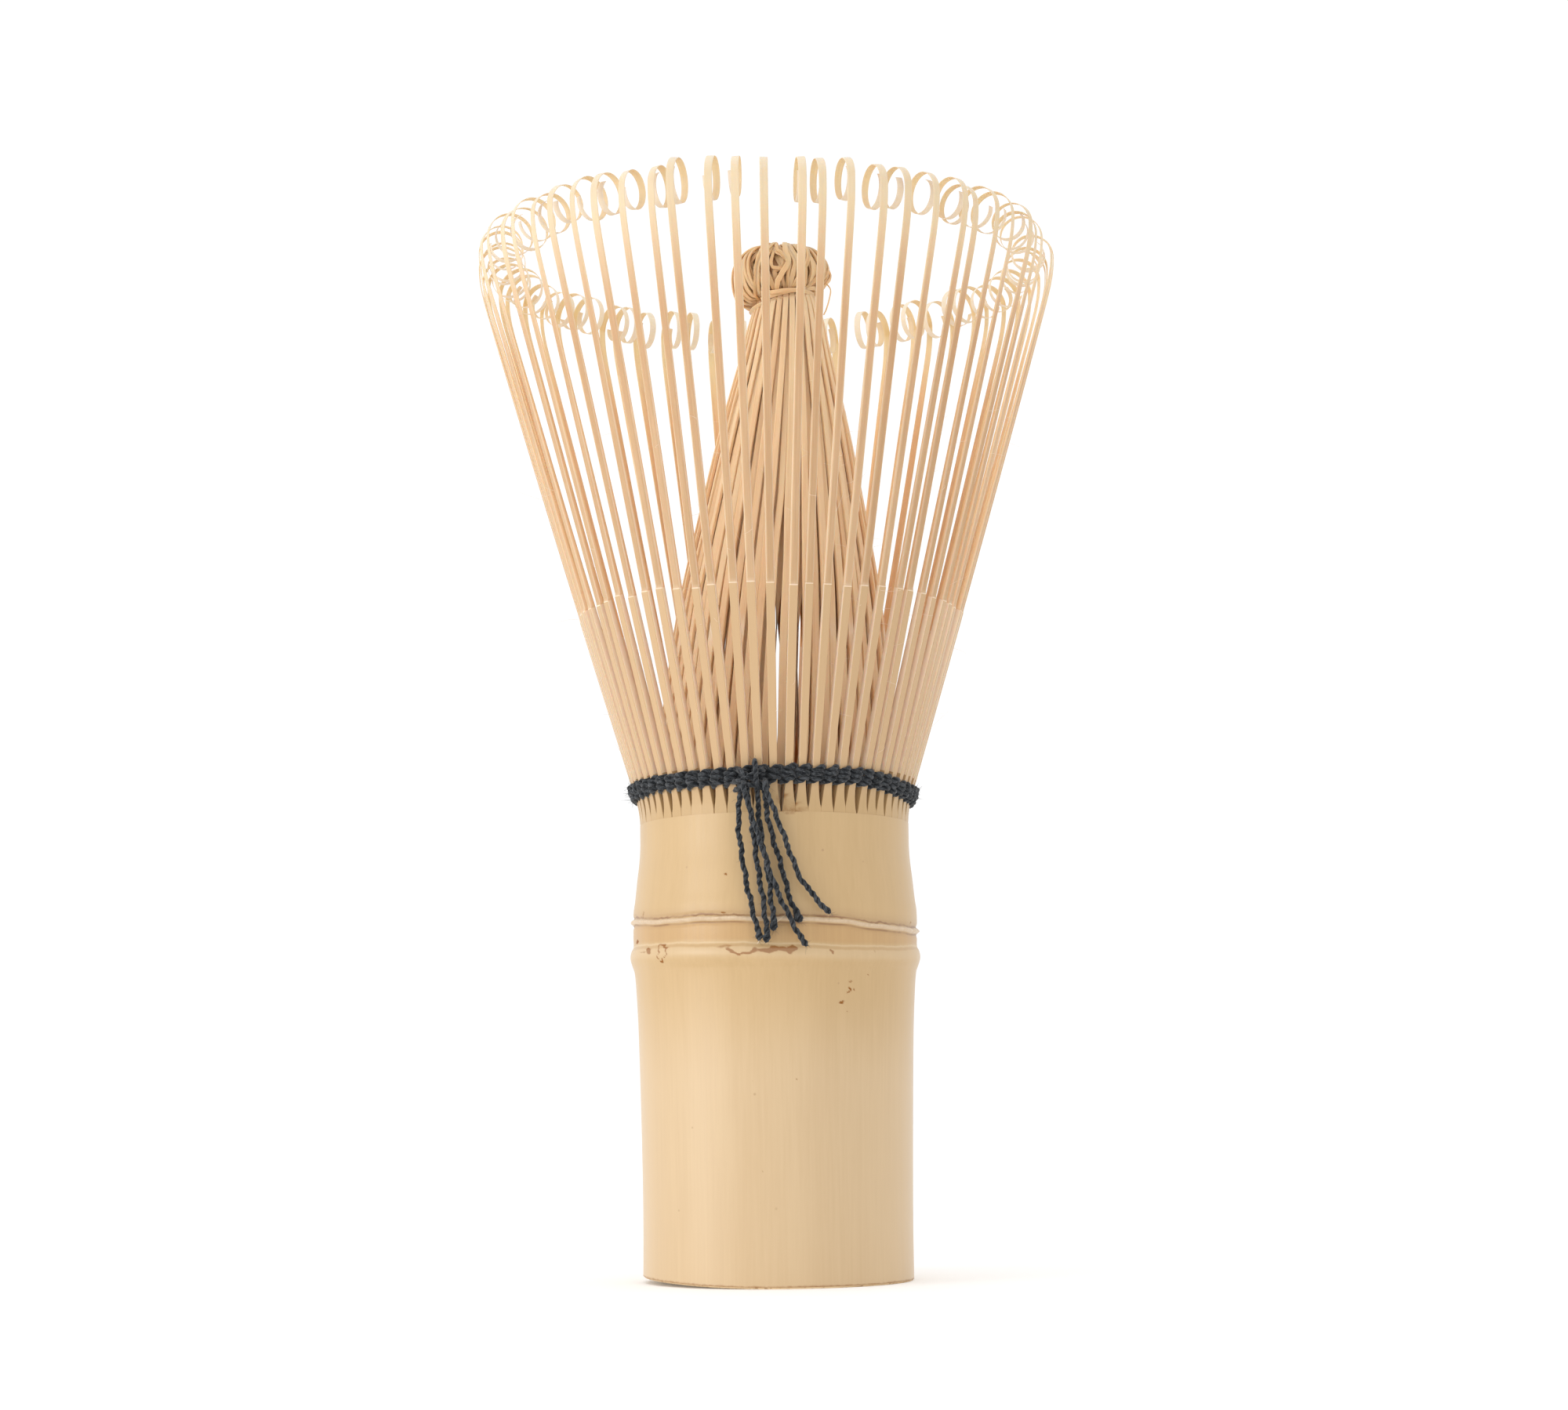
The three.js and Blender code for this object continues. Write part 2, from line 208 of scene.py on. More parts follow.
class Builder:
    """Gathers strips of quads, with the vectors that the materials read at each point."""

    def __init__(self):
        self.points, self.grain, self.marks = [], [], []
        self.faces, self.slots = [], []

    def rings(self, rows, grain, marks, slot_of=lambda row, column: 0, loop=False):
        """A tube through rows of points: closed round each row, and capped unless it's a loop."""
        count, sides = len(rows), len(rows[0])
        first = len(self.points)
        self.points.extend(np.reshape(rows, (-1, 3)))
        self.grain.extend(np.reshape(grain, (-1, 3)))
        self.marks.extend(np.reshape(marks, (-1, 3)))
        for i in range(count if loop else count - 1):
            low = first + i * sides
            high = first + ((i + 1) % count) * sides
            for j in range(sides):
                after = (j + 1) % sides
                self.faces.append((low + j, low + after, high + after, high + j))
                self.slots.append(slot_of(i, j))
        if not loop:
            self.faces.append(tuple(first + j for j in reversed(range(sides))))
            self.faces.append(tuple(first + (count - 1) * sides + j for j in range(sides)))
            self.slots.extend([slot_of(0, 2), slot_of(count - 1, 2)])

    def make(self, name, materials, sharp=35):
        mesh = bpy.data.meshes.new(name)
        mesh.from_pydata([tuple(p * MM) for p in self.points], [], self.faces)
        mesh.polygons.foreach_set("material_index", self.slots)
        for material in materials:
            mesh.materials.append(material)
        add_vectors(mesh, "grain", self.grain)
        add_vectors(mesh, "marks", self.marks)
        mesh.polygons.foreach_set("use_smooth", [True] * len(mesh.polygons))
        work = bmesh.new()
        work.from_mesh(mesh)
        bmesh.ops.recalc_face_normals(work, faces=work.faces)
        work.to_mesh(mesh)
        work.free()
        mesh.set_sharp_from_angle(angle=sharp * DEGREE)
        return add_object(name, mesh)


def frames_along(path, out, loop=False):
    """Tangents, and outward and side directions square to them."""
    if loop:
        tangent = unit(np.roll(path, -1, 0) - np.roll(path, 1, 0))
    else:
        tangent = unit(np.gradient(path, axis=0))
    side = unit(np.cross(tangent, out))
    return tangent, np.cross(side, tangent), side


def arc_lengths(path):
    return np.concatenate([[0], np.cumsum(np.linalg.norm(np.diff(path, axis=0), axis=1))])


def turn_section(section, turned):
    """A section's points (across, depth), turned about the origin."""
    c, s = math.cos(turned), math.sin(turned)
    return [(u * c - v * s, u * s + v * c) for u, v in section]


def add_strip(builder, path, out, section_at, grain_shift, marks_at):
    """A strip along a path. section_at gives its section and turn at each point, and marks_at its marks."""
    _, normal, side = frames_along(path, out)
    lengths = arc_lengths(path)
    du, dv, along = grain_shift
    rows, grain, marks = [], [], []
    for n in range(len(path)):
        section, turned = section_at(n)
        placed = turn_section(section, turned)
        rows.append([path[n] + side[n] * across + normal[n] * depth for across, depth in placed])
        grain.append([(u + du, v + dv, lengths[n] + along) for u, v in section])
        marks.append([marks_at(n)] * len(section))
    builder.rings(rows, grain, marks)


def stray(rng, spread):
    """A random offset in space."""
    return np.array([rng.gauss(0, spread) for _ in range(3)])


def fibre(builder, start, direction, length, radius, rng, slot=0):
    """A fine curved hair with three sides."""
    bend = stray(rng, 0.6)
    steps = np.linspace(0, 1, 5)
    path = np.array([start + direction * length * t + bend * length * 0.5 * t * t for t in steps])
    _, normal, side = frames_along(path, unit(np.cross(direction, bend + 0.01)))
    rows = []
    for n in range(5):
        r = radius * (1 - 0.5 * n / 4)
        corners = [j * TURN / 3 for j in range(3)]
        rows.append([path[n] + normal[n] * r * math.cos(a) + side[n] * r * math.sin(a) for a in corners])
    builder.rings(rows, rows, [[(0, 1, 0)] * 3] * 5, lambda row, column: slot)


# ---- material nodes ----
class Shader:
    """A material with a Principled surface, and short ways to add nodes."""

    def __init__(self, name):
        self.material = bpy.data.materials.new(name)
        self.material.use_nodes = True
        self.tree = self.material.node_tree
        self.surface = self.tree.nodes["Principled BSDF"]

    def put(self, value, socket):
        if isinstance(value, bpy.types.NodeSocket):
            self.tree.links.new(value, socket)
        else:
            socket.default_value = value

    def add(self, kind, inputs, **settings):
        """A new node's outputs. Its inputs go by name, or by number where names repeat."""
        node = self.tree.nodes.new("ShaderNode" + kind)
        for key, value in settings.items():
            setattr(node, key, value)
        for key, value in inputs.items():
            self.put(value, node.inputs[key])
        return node.outputs

    def attribute(self, name):
        return self.add("Attribute", {}, attribute_name=name)["Vector"]

    def axis(self, vector, letter):
        return self.add("SeparateXYZ", {0: vector})[letter]

    def scaled(self, vector, scale):
        return self.add("VectorMath", {0: vector, 1: scale}, operation="MULTIPLY")[0]

    def noise(self, vector, scale, detail=3, rough=0.55):
        inputs = {"Vector": self.scaled(vector, scale), "Scale": 1, "Detail": detail, "Roughness": rough}
        return self.add("TexNoise", inputs)["Fac"]

    def voronoi(self, vector, scale):
        return self.add("TexVoronoi", {"Vector": self.scaled(vector, scale), "Scale": 1})["Distance"]

    def plus(self, a, b, clamp=False):
        return self.add("Math", {0: a, 1: b}, operation="ADD", use_clamp=clamp)[0]

    def minus(self, a, b):
        return self.add("Math", {0: a, 1: b}, operation="SUBTRACT")[0]

    def times(self, a, b, clamp=False):
        return self.add("Math", {0: a, 1: b}, operation="MULTIPLY", use_clamp=clamp)[0]

    def spread(self, value, low, high, to_low=0.0, to_high=1.0):
        """value mapped from low..high to to_low..to_high, and held there."""
        inputs = {"Value": value, "From Min": low, "From Max": high, "To Min": to_low, "To Max": to_high}
        return self.add("MapRange", inputs, interpolation_type="SMOOTHSTEP")[0]

    def mix(self, share, a, b):
        low, high = [(*tone, 1) if isinstance(tone, tuple) else tone for tone in (a, b)]
        return self.add("Mix", {"Factor": share, 6: low, 7: high}, data_type="RGBA")[2]

    def bump(self, height, distance, strength):
        inputs = {"Strength": strength, "Distance": distance * MM, "Height": height}
        self.put(self.add("Bump", inputs)[0], self.surface.inputs["Normal"])

    def set(self, **values):
        for key, value in values.items():
            self.put(value, self.surface.inputs[key.replace("_", " ")])
        return self.material


def bamboo_tones(shader, light, dark, fine=3.2, contrast=1.0):
    """Lengthwise fibres and slow changes of tone. Returns the colour and the fibres' height."""
    grain = shader.attribute("grain")
    marks = shader.attribute("marks")
    fibres = shader.noise(grain, (fine, fine, fine * 0.03), 4, 0.6)
    bands = shader.noise(grain, (0.55, 0.55, 0.02), 2)
    clouds = shader.noise(grain, (0.13, 0.13, 0.06), 2)
    tone = shader.plus(shader.times(fibres, 0.45), shader.times(bands, 0.3))
    tone = shader.plus(tone, shader.times(clouds, 0.25))
    tone = shader.plus(tone, shader.times(shader.axis(marks, "Z"), 0.1))
    share = shader.spread(tone, 0.5 - 0.17 / contrast, 0.5 + 0.17 / contrast)
    return shader.mix(share, dark, light), fibres


SKIN_LIGHT, SKIN_DARK = (0.625, 0.455, 0.265), (0.58, 0.41, 0.23)
# Round the node and above it the skin is deeper in tone.
DEEP_SKIN_LIGHT, DEEP_SKIN_DARK = (0.565, 0.385, 0.19), (0.52, 0.345, 0.16)


def add_skin(shader, light, dark, pale_tone):
    """Smooth skin with faint fibres, specks and stains. Returns its colour."""
    colour, fibres = bamboo_tones(shader, light, dark, contrast=0.8)
    grain = shader.attribute("grain")
    marks = shader.attribute("marks")
    ragged = shader.noise(grain, (1.6, 1.6, 1.6), 5, 0.65)
    specks = shader.spread(shader.voronoi(grain, (0.42, 0.42, 0.42)), 0.035, 0.075, 1, 0)
    sparse = shader.spread(shader.noise(grain, (0.2, 0.2, 0.2), 1), 0.52, 0.6)
    specks = shader.times(shader.times(specks, sparse), 0.45)
    colour = shader.mix(specks, colour, (0.36, 0.2, 0.1))
    ragged = shader.times(shader.minus(ragged, 0.5), 0.5)
    stain_and_shade = shader.plus(shader.axis(marks, "X"), ragged)
    stain_and_shade = shader.spread(stain_and_shade, 0.15, 0.65, 0, 0.9)
    colour = shader.mix(stain_and_shade, colour, (0.24, 0.08, 0.012))
    pale = shader.times(shader.axis(marks, "Y"), 0.6, clamp=True)
    colour = shader.mix(pale, colour, pale_tone)
    shader.bump(fibres, 0.015, 0.4)
    rough = shader.spread(fibres, 0.3, 0.7, 0.42, 0.54)
    clean = shader.minus(1, stain_and_shade)
    shader.set(Roughness=rough, Specular_IOR_Level=shader.times(clean, 0.5))
    shader.set(Sheen_Weight=shader.times(clean, 0.3), Sheen_Roughness=0.3)
    shader.set(Coat_Weight=shader.times(clean, 0.15), Coat_Roughness=0.3)
    return colour


def tine_skin_material():
    """The skin left on the lower part of the outer tines."""
    shader = Shader("bamboo_skin")
    colour = add_skin(shader, (0.53, 0.35, 0.165), (0.485, 0.315, 0.14), (0.59, 0.385, 0.21))
    return shader.set(Base_Color=colour)


def culm_material():
    """The skin round the handle, with the marks of the node drawn on."""
    shader = Shader("bamboo_culm")
    grain = shader.attribute("grain")
    scar = shader.attribute("scar")
    above_scar = shader.axis(scar, "X")
    above_groove = shader.axis(scar, "Y")
    deep = shader.spread(above_scar, -17, -5)
    node = shader.spread(above_scar, -0.6, -0.2, 1, 0)
    node = shader.times(node, shader.spread(above_groove, 0, 0.5))
    light = shader.mix(node, shader.mix(deep, SKIN_LIGHT, DEEP_SKIN_LIGHT), (0.54, 0.34, 0.15))
    dark = shader.mix(node, shader.mix(deep, SKIN_DARK, DEEP_SKIN_DARK), (0.48, 0.29, 0.12))
    colour = add_skin(shader, light, dark, (0.80, 0.61, 0.37))
    ragged = shader.minus(shader.noise(grain, (0.7, 0.7, 0.5), 4, 0.6), 0.5)
    patchy = shader.spread(shader.noise(grain, (0.35, 0.35, 0.1), 2), 0.38, 0.6, 0.45, 1)
    ticks = shader.noise(grain, (5, 5, 0.4), 2)

    def paint(colour, level, start, full, hold, end, strength, tone):
        """A line of the given tone, between two levels, with soft edges."""
        line = shader.times(shader.spread(level, start, full), shader.spread(level, hold, end, 1, 0))
        return shader.mix(shader.times(line, strength), colour, tone)

    # The bead is pale and crossed by fine upright ticks.
    bead = shader.mix(ticks, (0.56, 0.41, 0.27), (0.76, 0.61, 0.44))
    colour = paint(colour, above_scar, -0.3, -0.18, 0.12, 0.24, 0.75, bead)
    # A thin, ragged dark line runs just above it, over a soft brown band of painted shade, and a fine line of
    # painted shadow runs below it.
    wavy = shader.plus(above_scar, shader.times(ragged, 0.7))
    # A soft brown band above the bead: painted shade.
    colour = paint(colour, above_scar, 0.1, 0.4, 0.5, 1.7, 0.3, (0.42, 0.26, 0.13))
    dark_line = shader.times(patchy, 0.8)
    colour = paint(colour, wavy, 0.2, 0.3, 0.36, 0.54, dark_line, (0.25, 0.115, 0.05))
    # A fine dark line under the bead: a painted shadow.
    colour = paint(colour, above_scar, -0.6, -0.4, -0.36, -0.28, dark_line, (0.26, 0.125, 0.045))
    # The groove above the nodal ridge is a thin pale line over a faint brown one.
    bent = shader.plus(above_groove, shader.times(ragged, 0.3))
    colour = paint(colour, bent, -0.12, 0.0, 0.04, 0.2, 0.3, (0.76, 0.6, 0.4))
    colour = paint(colour, bent, -0.45, -0.25, -0.2, -0.08, 0.25, (0.46, 0.28, 0.14))
    colour = paint(colour, bent, -1.7, -0.9, -0.5, -0.3, 0.18, (0.78, 0.63, 0.45))
    return shader.set(Base_Color=colour)


def split_material(name, light, dark, gloss=0.0):
    """Split or shaved bamboo: matt, warmer than the skin, with coarser fibres, and thin enough to glow."""
    shader = Shader(name)
    colour, fibres = bamboo_tones(shader, light, dark, fine=5.5, contrast=1.25)
    pale = shader.axis(shader.attribute("marks"), "Y")
    colour = shader.mix(shader.times(pale, 0.85, clamp=True), colour, (0.90, 0.76, 0.60))
    # Marks X browns it: painted shade on the outer tines' split faces below the mark, and in the knot's core.
    stain_and_shade = shader.axis(shader.attribute("marks"), "X")
    colour = shader.mix(shader.times(stain_and_shade, 0.8, clamp=True), colour, (0.34, 0.16, 0.06))
    shader.bump(fibres, 0.03, 0.6)
    rough = shader.spread(fibres, 0.3, 0.7, 0.5 - gloss, 0.66 - gloss)
    shader.set(Subsurface_Weight=0.35, Subsurface_Radius=(1.0, 0.5, 0.25), Subsurface_Scale=1.2 * MM)
    return shader.set(Base_Color=colour, Roughness=rough, Specular_IOR_Level=0.4)


def cut_material():
    """The sawn end of the culm: dots of fibre bundles, closer together towards the skin."""
    shader = Shader("bamboo_cut")
    grain = shader.attribute("grain")
    marks = shader.attribute("marks")
    dots = shader.voronoi(grain, (1.7, 1.7, 0.3))
    close = shader.voronoi(grain, (3.4, 3.4, 0.3))
    outer = shader.spread(shader.axis(marks, "Z"), 0.45, 0.8)
    spots = shader.times(shader.spread(dots, 0.2, 0.34, 1, 0), shader.minus(1, outer))
    near = shader.times(shader.spread(close, 0.28, 0.45, 1, 0), outer)
    spots = shader.plus(spots, near, clamp=True)
    base = shader.mix(shader.noise(grain, (0.8, 0.8, 0.8), 4), (0.62, 0.44, 0.25), (0.78, 0.61, 0.38))
    colour = shader.mix(shader.times(spots, 0.7), base, (0.34, 0.19, 0.09))
    shader.bump(spots, 0.05, 0.5)
    return shader.set(Base_Color=colour, Roughness=0.75, Specular_IOR_Level=0.3)


def inside_material():
    """The culm's inner wall: a papery pale lining with darker fibres."""
    shader = Shader("bamboo_inside")
    colour, fibres = bamboo_tones(shader, (0.74, 0.57, 0.36), (0.50, 0.33, 0.18), fine=2.2)
    shader.bump(fibres, 0.08, 0.7)
    return shader.set(Base_Color=colour, Roughness=0.8, Specular_IOR_Level=0.25)


def yarn_material(name, light, dark):
    """Dull cotton yarn: fine fibres across each ply, with a soft sheen."""
    shader = Shader(name)
    grain = shader.attribute("grain")
    fibres = shader.noise(grain, (11, 11, 3), 4, 0.75)
    patches = shader.noise(grain, (1.1, 1.1, 1.1), 2)
    tone = shader.plus(shader.times(fibres, 0.7), shader.times(patches, 0.3))
    colour = shader.mix(shader.spread(tone, 0.42, 0.6), dark, light)
    # The valleys between the plies are painted near black: painted shade.
    valley_shade = shader.spread(shader.axis(shader.attribute("marks"), "Y"), 0.05, 0.5, 0.9, 0)
    colour = shader.mix(valley_shade, colour, (0.004, 0.005, 0.007))
    shader.bump(fibres, 0.06, 0.9)
    shader.set(Roughness=0.95, Specular_IOR_Level=0.2, Sheen_Weight=0.25, Sheen_Roughness=0.4)
    return shader.set(Base_Color=colour)


# ---- camera, floor and light ----
def make_camera():
    """Low in front of the whisk, looking up at it."""
    pitch = 8.42 * DEGREE
    roll = -0.6 * DEGREE
    data = bpy.data.cameras.new("camera")
    data.lens = 63.1
    data.sensor_width = 36
    data.clip_start = 0.01
    camera = add_object("camera", data)
    place = Matrix.Translation(Vector((1.16, -290, 17.3)) * MM)
    upright = Matrix.Rotation(math.pi / 2 + pitch, 4, "X")
    camera.matrix_world = place @ upright @ Matrix.Rotation(roll, 4, "Z")
    bpy.context.scene.camera = camera


def make_floor():
    size = 3.0
    mesh = bpy.data.meshes.new("floor")
    corners = [(-size, -size, 0), (size, -size, 0), (size, size, 0), (-size, size, 0)]
    mesh.from_pydata(corners, [], [(0, 1, 2, 3)])
    shader = Shader("floor_paper")
    place = shader.tree.nodes.new("ShaderNodeTexCoord").outputs["Object"]
    texture = shader.noise(place, (300, 300, 300), 3)
    colour = shader.mix(texture, (0.98, 0.98, 0.98), (0.99, 0.99, 0.99))
    shader.set(Emission_Color=(1, 1, 1, 1), Emission_Strength=0.08)
    mesh.materials.append(shader.set(Base_Color=colour, Roughness=0.9, Specular_IOR_Level=0.1))
    floor = add_object("floor", mesh)


def make_light():
    """A bright white room, and one soft lamp low at the left."""
    world = bpy.data.worlds.new("world")
    bpy.context.scene.world = world
    world.use_nodes = True
    background = world.node_tree.nodes["Background"]
    background.inputs["Color"].default_value = (1, 1, 1, 1)
    background.inputs["Strength"].default_value = 1.04
    lamp = bpy.data.lights.new("key", "AREA")
    lamp.shape = "DISK"
    lamp.size = 0.4
    lamp.energy = 2.0
    light = add_object("key", lamp)
    light.location = (-0.62, -0.34, 0.12)
    aim = Vector((0, 0, 0.06)) - light.location
    light.rotation_euler = aim.to_track_quat("-Z", "Y").to_euler()
    bpy.context.scene.view_settings.view_transform = "Standard"
    bpy.context.scene.view_settings.look = "None"


# ---- culm ----
# Height of the sheath scar, and of the groove over the nodal ridge, by azimuth from the front.
SCAR_LINE = [(-180, 37), (-80, 37.1), (-60, 36.72), (-43, 36.66), (-20, 36.6), (0, 36.5), (17, 36.32)]
SCAR_LINE += [(28, 36.28), (36, 36.05), (50, 35.8), (80, 35.85), (130, 36.5), (180, 37)]
GROOVE_LINE = [(-180, 34.4), (-80, 34.45), (-43, 34.28), (-20, 34.12), (0, 33.95), (20, 33.8)]
GROOVE_LINE += [(40, 33.75), (60, 33.95), (85, 34.3), (180, 34.4)]


def line_height(line, azimuth):
    return curve_at(line, angle_from(azimuth, FRONT) / DEGREE)


def scar_height(azimuth):
    wave = 0.04 * math.sin(9 * azimuth + 1) + 0.025 * math.sin(23 * azimuth)
    return line_height(SCAR_LINE, azimuth) + wave


def groove_height(azimuth):
    return line_height(GROOVE_LINE, azimuth) + 0.03 * math.sin(13 * azimuth)


def skin_radius(azimuth, z):
    """The culm isn't quite round, and the sheath scar stands out of it as a bead."""
    ridge = smooth(30, 33, z) * (1 - smooth(35, 37, z))
    r = curve_at(CULM_OUTLINE, z - ridge * (groove_height(azimuth) - 34.4))
    r += 0.05 * math.cos(2 * azimuth - 0.6) + 0.02 * math.sin(5 * azimuth + 0.15 * z)
    above = z - scar_height(azimuth)
    bead = 0.27 + 0.04 * math.sin(41 * azimuth) + 0.03 * math.sin(67 * azimuth + 1)
    r += bead * bump(above, 0, 0.2) - 0.12 * bump(above, 0.44, 0.2) - 0.1 * bump(above, -0.44, 0.2)
    settle = smooth(HANDLE_TOP - 2.5, HANDLE_TOP - 0.3, z)  # the tines leave from a true circle
    return lerp(r, ROOT_RADIUS, settle)


# Stains on the skin: azimuth from the front in degrees, height, half width, half height, depth of tone.
STAINS = [
    (-58.6, 33.7, 0.5, 0.3, 0.95),
    (-63, 33.7, 0.9, 0.08, 0.5),
    (-74, 34.9, 0.3, 0.2, 0.8),
    (-19.5, 33.75, 1.0, 0.16, 0.42),
    (-2.6, 33.3, 0.9, 0.2, 0.85),
    (-1.5, 33.35, 0.3, 0.3, 0.85),
    (0.8, 33.45, 0.32, 0.22, 0.95),
    (3.2, 33.4, 0.4, 0.26, 0.8),
    (6.1, 33.32, 0.42, 0.36, 0.95),
    (22, 33.16, 0.2, 0.22, 0.95),
    (42, 33.2, 0.2, 0.15, 0.4),
    (30.5, 29.4, 0.13, 0.4, 0.8),
    (27.8, 28.15, 0.14, 0.14, 0.75),
    (33.3, 29.3, 0.11, 0.13, 0.6),
    (39.4, 30.9, 0.1, 0.13, 0.65),
    (31.6, 30.2, 0.08, 0.2, 0.5),
    (29.7, 27.3, 0.1, 0.1, 0.5),
    (-20, 41.1, 0.15, 0.15, 0.75),
    (-20.8, 37.22, 0.18, 0.12, 0.95),
    (-66, 37.5, 0.2, 0.5, 0.45),
    (70, 36.5, 0.22, 0.14, 0.6),
    (-0.8, 22.1, 0.12, 0.12, 0.8),
    (8.9, 20.45, 0.11, 0.11, 0.8),
    (-6, 11.5, 0.1, 0.1, 0.5),
    (95, 33.4, 1.4, 0.3, 0.7),
    (131, 33.1, 0.7, 0.25, 0.8),
    (172, 33.3, 1.8, 0.3, 0.65),
    (-128, 33.4, 1.0, 0.25, 0.7),
    (150, 24, 0.3, 0.6, 0.6),
    (-105, 15, 0.15, 0.15, 0.6),
]
# Dried drops, outlined up to a height: azimuth from the front, height, half width, half height, tone, top.
RINGS = [(-49.5, 33.5, 0.66, 0.85, 0.8, 40), (-13, 33.45, 1.3, 0.5, 0.8, 33.4)]
RING_LINE = 0.1
BUD_LEFT, BUD_RIGHT = 0.5, 3.1  # the scar of a side bud, under the thread
BUD_TOP, BUD_BOTTOM = 49, 47.1


def stain_at(azimuth, z):
    """How brown the skin is there. The marks' edges are ragged."""
    amount = 0.0
    ragged = 0.012 * math.sin(5.1 * z + 37 * azimuth) + 0.007 * math.sin(11 * z - 61 * azimuth + 2)
    z += 0.06 * math.sin(43 * azimuth + 3.1 * z) + 0.03 * math.sin(97 * azimuth + 1)
    azimuth += ragged
    for degrees, height, half_width, half_height, depth in STAINS:
        turn = angle_from(azimuth, FRONT + degrees * DEGREE) * ROOT_RADIUS
        far = math.hypot(turn / half_width, (z - height) / half_height)
        amount = max(amount, depth * (1 - smooth(0.5, 1.7, far)))
    for degrees, height, half_width, half_height, depth, top in RINGS:
        turn = angle_from(azimuth, FRONT + degrees * DEGREE) * ROOT_RADIUS
        corner = 1 + 0.16 * math.sin(3 * math.atan2(z - height, turn) + 1)
        off = abs(math.hypot(turn / half_width, (z - height) / half_height) - corner) * half_height
        line = 1 - smooth(RING_LINE * 0.3, RING_LINE * 2, off)
        amount = max(amount, depth * line * (1 - smooth(top, top + 0.3, z)))
    x = angle_from(azimuth, FRONT) * ROOT_RADIUS
    across = (x - BUD_LEFT) / (BUD_RIGHT - BUD_LEFT)
    if -0.3 < across < 1.3:
        brow = BUD_TOP - 1.3 * across**1.4 if across > 0 else BUD_TOP
        edge = smooth(-0.3, 0.1, across) * (1 - smooth(0.9, 1.3, across))
        amount = max(amount, 0.6 * edge * (1 - smooth(0.08, 0.3, abs(z - brow))))
        inside = smooth(BUD_BOTTOM - 0.2, BUD_BOTTOM + 0.4, z) * (1 - smooth(brow - 0.2, brow + 0.1, z))
        amount = max(amount, 0.3 * edge * inside)
        amount = max(amount, 0.4 * edge * (1 - smooth(0.06, 0.22, abs(z - BUD_BOTTOM - 0.1))))
    return amount


FINE_STEP, COARSE_STEP = 0.12, 0.25  # between rows of the skin, round the node and elsewhere
FOOT_EDGE = 0.15  # the edge at the foot is bevelled up to this height
CUT_RISE = 0.55  # the foot isn't sawn quite square: it is this much short at the left


def culm_rows():
    """The culm's section, from the top of its partition out, up, over, down and in again.

    Each row is (kind, radius, height); kind says which surface it lies on."""
    rows = [("septum", r, SEPTUM_TOP + 0.25 * (1 - r / UPPER_BORE_RADIUS)) for r in (0.05, 4, 8, 10.8)]
    rows += [("inside", UPPER_BORE_RADIUS, z) for z in np.linspace(SEPTUM_TOP + 0.6, HANDLE_TOP, 14)]
    rows += [("cut", r, HANDLE_TOP) for r in np.linspace(UPPER_BORE_RADIUS + 0.2, ROOT_RADIUS - 0.1, 8)]
    heights = [HANDLE_TOP]
    while heights[-1] > FOOT_EDGE:
        step = FINE_STEP if 26.5 < heights[-1] < 40 else COARSE_STEP
        heights.append(max(heights[-1] - step, FOOT_EDGE))
    rows += [("skin", None, z) for z in heights]
    rows += [("cut", r, 0) for r in np.linspace(13.8, BORE_RADIUS + 0.12, 8)]
    rows += [("inside", BORE_RADIUS, z) for z in np.linspace(FOOT_EDGE, SEPTUM_BOTTOM - 0.8, 36)]
    rows += [("septum", r, SEPTUM_BOTTOM - 0.35 * (1 - r / BORE_RADIUS)) for r in (10.5, 8, 4, 0.05)]
    return rows


def make_culm():
    columns = 480
    kinds = {"skin": 0, "cut": 1, "inside": 2, "septum": 2}
    rows = culm_rows()
    builder = Builder()
    points, marks, scar = [], [], []
    for kind, radius, z in rows:
        ring, ring_marks, ring_scar = [], [], []
        for j in range(columns):
            a = j * TURN / columns
            r, h = radius, z
            if kind == "skin":
                r = skin_radius(a, z)
            elif kind == "inside":
                r = radius + 0.09 * math.sin(3 * a + 0.1 * z) + 0.05 * math.sin(11 * a + 0.3 * z)
            elif kind == "septum":
                h = z + 0.08 * math.sin(4 * a) * radius / 10
            h += CUT_RISE * max(0, -math.cos(a)) ** 2 * (1 - smooth(0, 6, z))
            cut_share = (r - BORE_RADIUS) / (ROOT_RADIUS - BORE_RADIUS)
            ring.append((r * math.cos(a), r * math.sin(a), h))
            stain_and_shade = stain_at(a, z) if kind == "skin" else 0
            rim = 0.5 * (1 - smooth(0.1, 0.5, z)) if kind == "skin" else 0
            ring_marks.append((max(stain_and_shade, rim), 0, cut_share if kind == "cut" else 0))
            ring_scar.append((z - scar_height(a), z - groove_height(a), 0))
        points.append(ring)
        marks.append(ring_marks)
        scar.extend(ring_scar)
    builder.rings(points, points, marks, lambda row, column: kinds[rows[min(row + 1, len(rows) - 1)][0]])
    culm = builder.make("culm", [culm_material(), cut_material(), inside_material()], sharp=50)
    add_vectors(culm.data, "scar", scar)
    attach(culm, "root")
    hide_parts("culm_handle")


# ---- tines ----
TINE_WIDTH = [(46, 0.78), (52, 0.76), (60, 0.83), (76, 0.82), (95, 0.81), (106, 0.79)]
TINE_THICKNESS = [(46, 0.95), (60, 0.74), (76, 0.52), (95, 0.33), (104, 0.2), (107, 0.14)]
CURL_HALF_WIDTH = 0.39
TIP_THICKNESS = 0.09
SLIT_BOTTOM = 47.5
SLIT_TAPER = 2.4  # height in which the slits open to their full width
ROOT_SKIN_TOP = 50.5  # below this all of a tine's faces have the skin's material
MARK_STEPS = (-0.3, -0.12, 0.02, 0.15, 0.3, 0.5)  # sections close together at the end of the skin
HAIR_HEIGHTS = (53, 90)  # where loose fibres stand off the tines


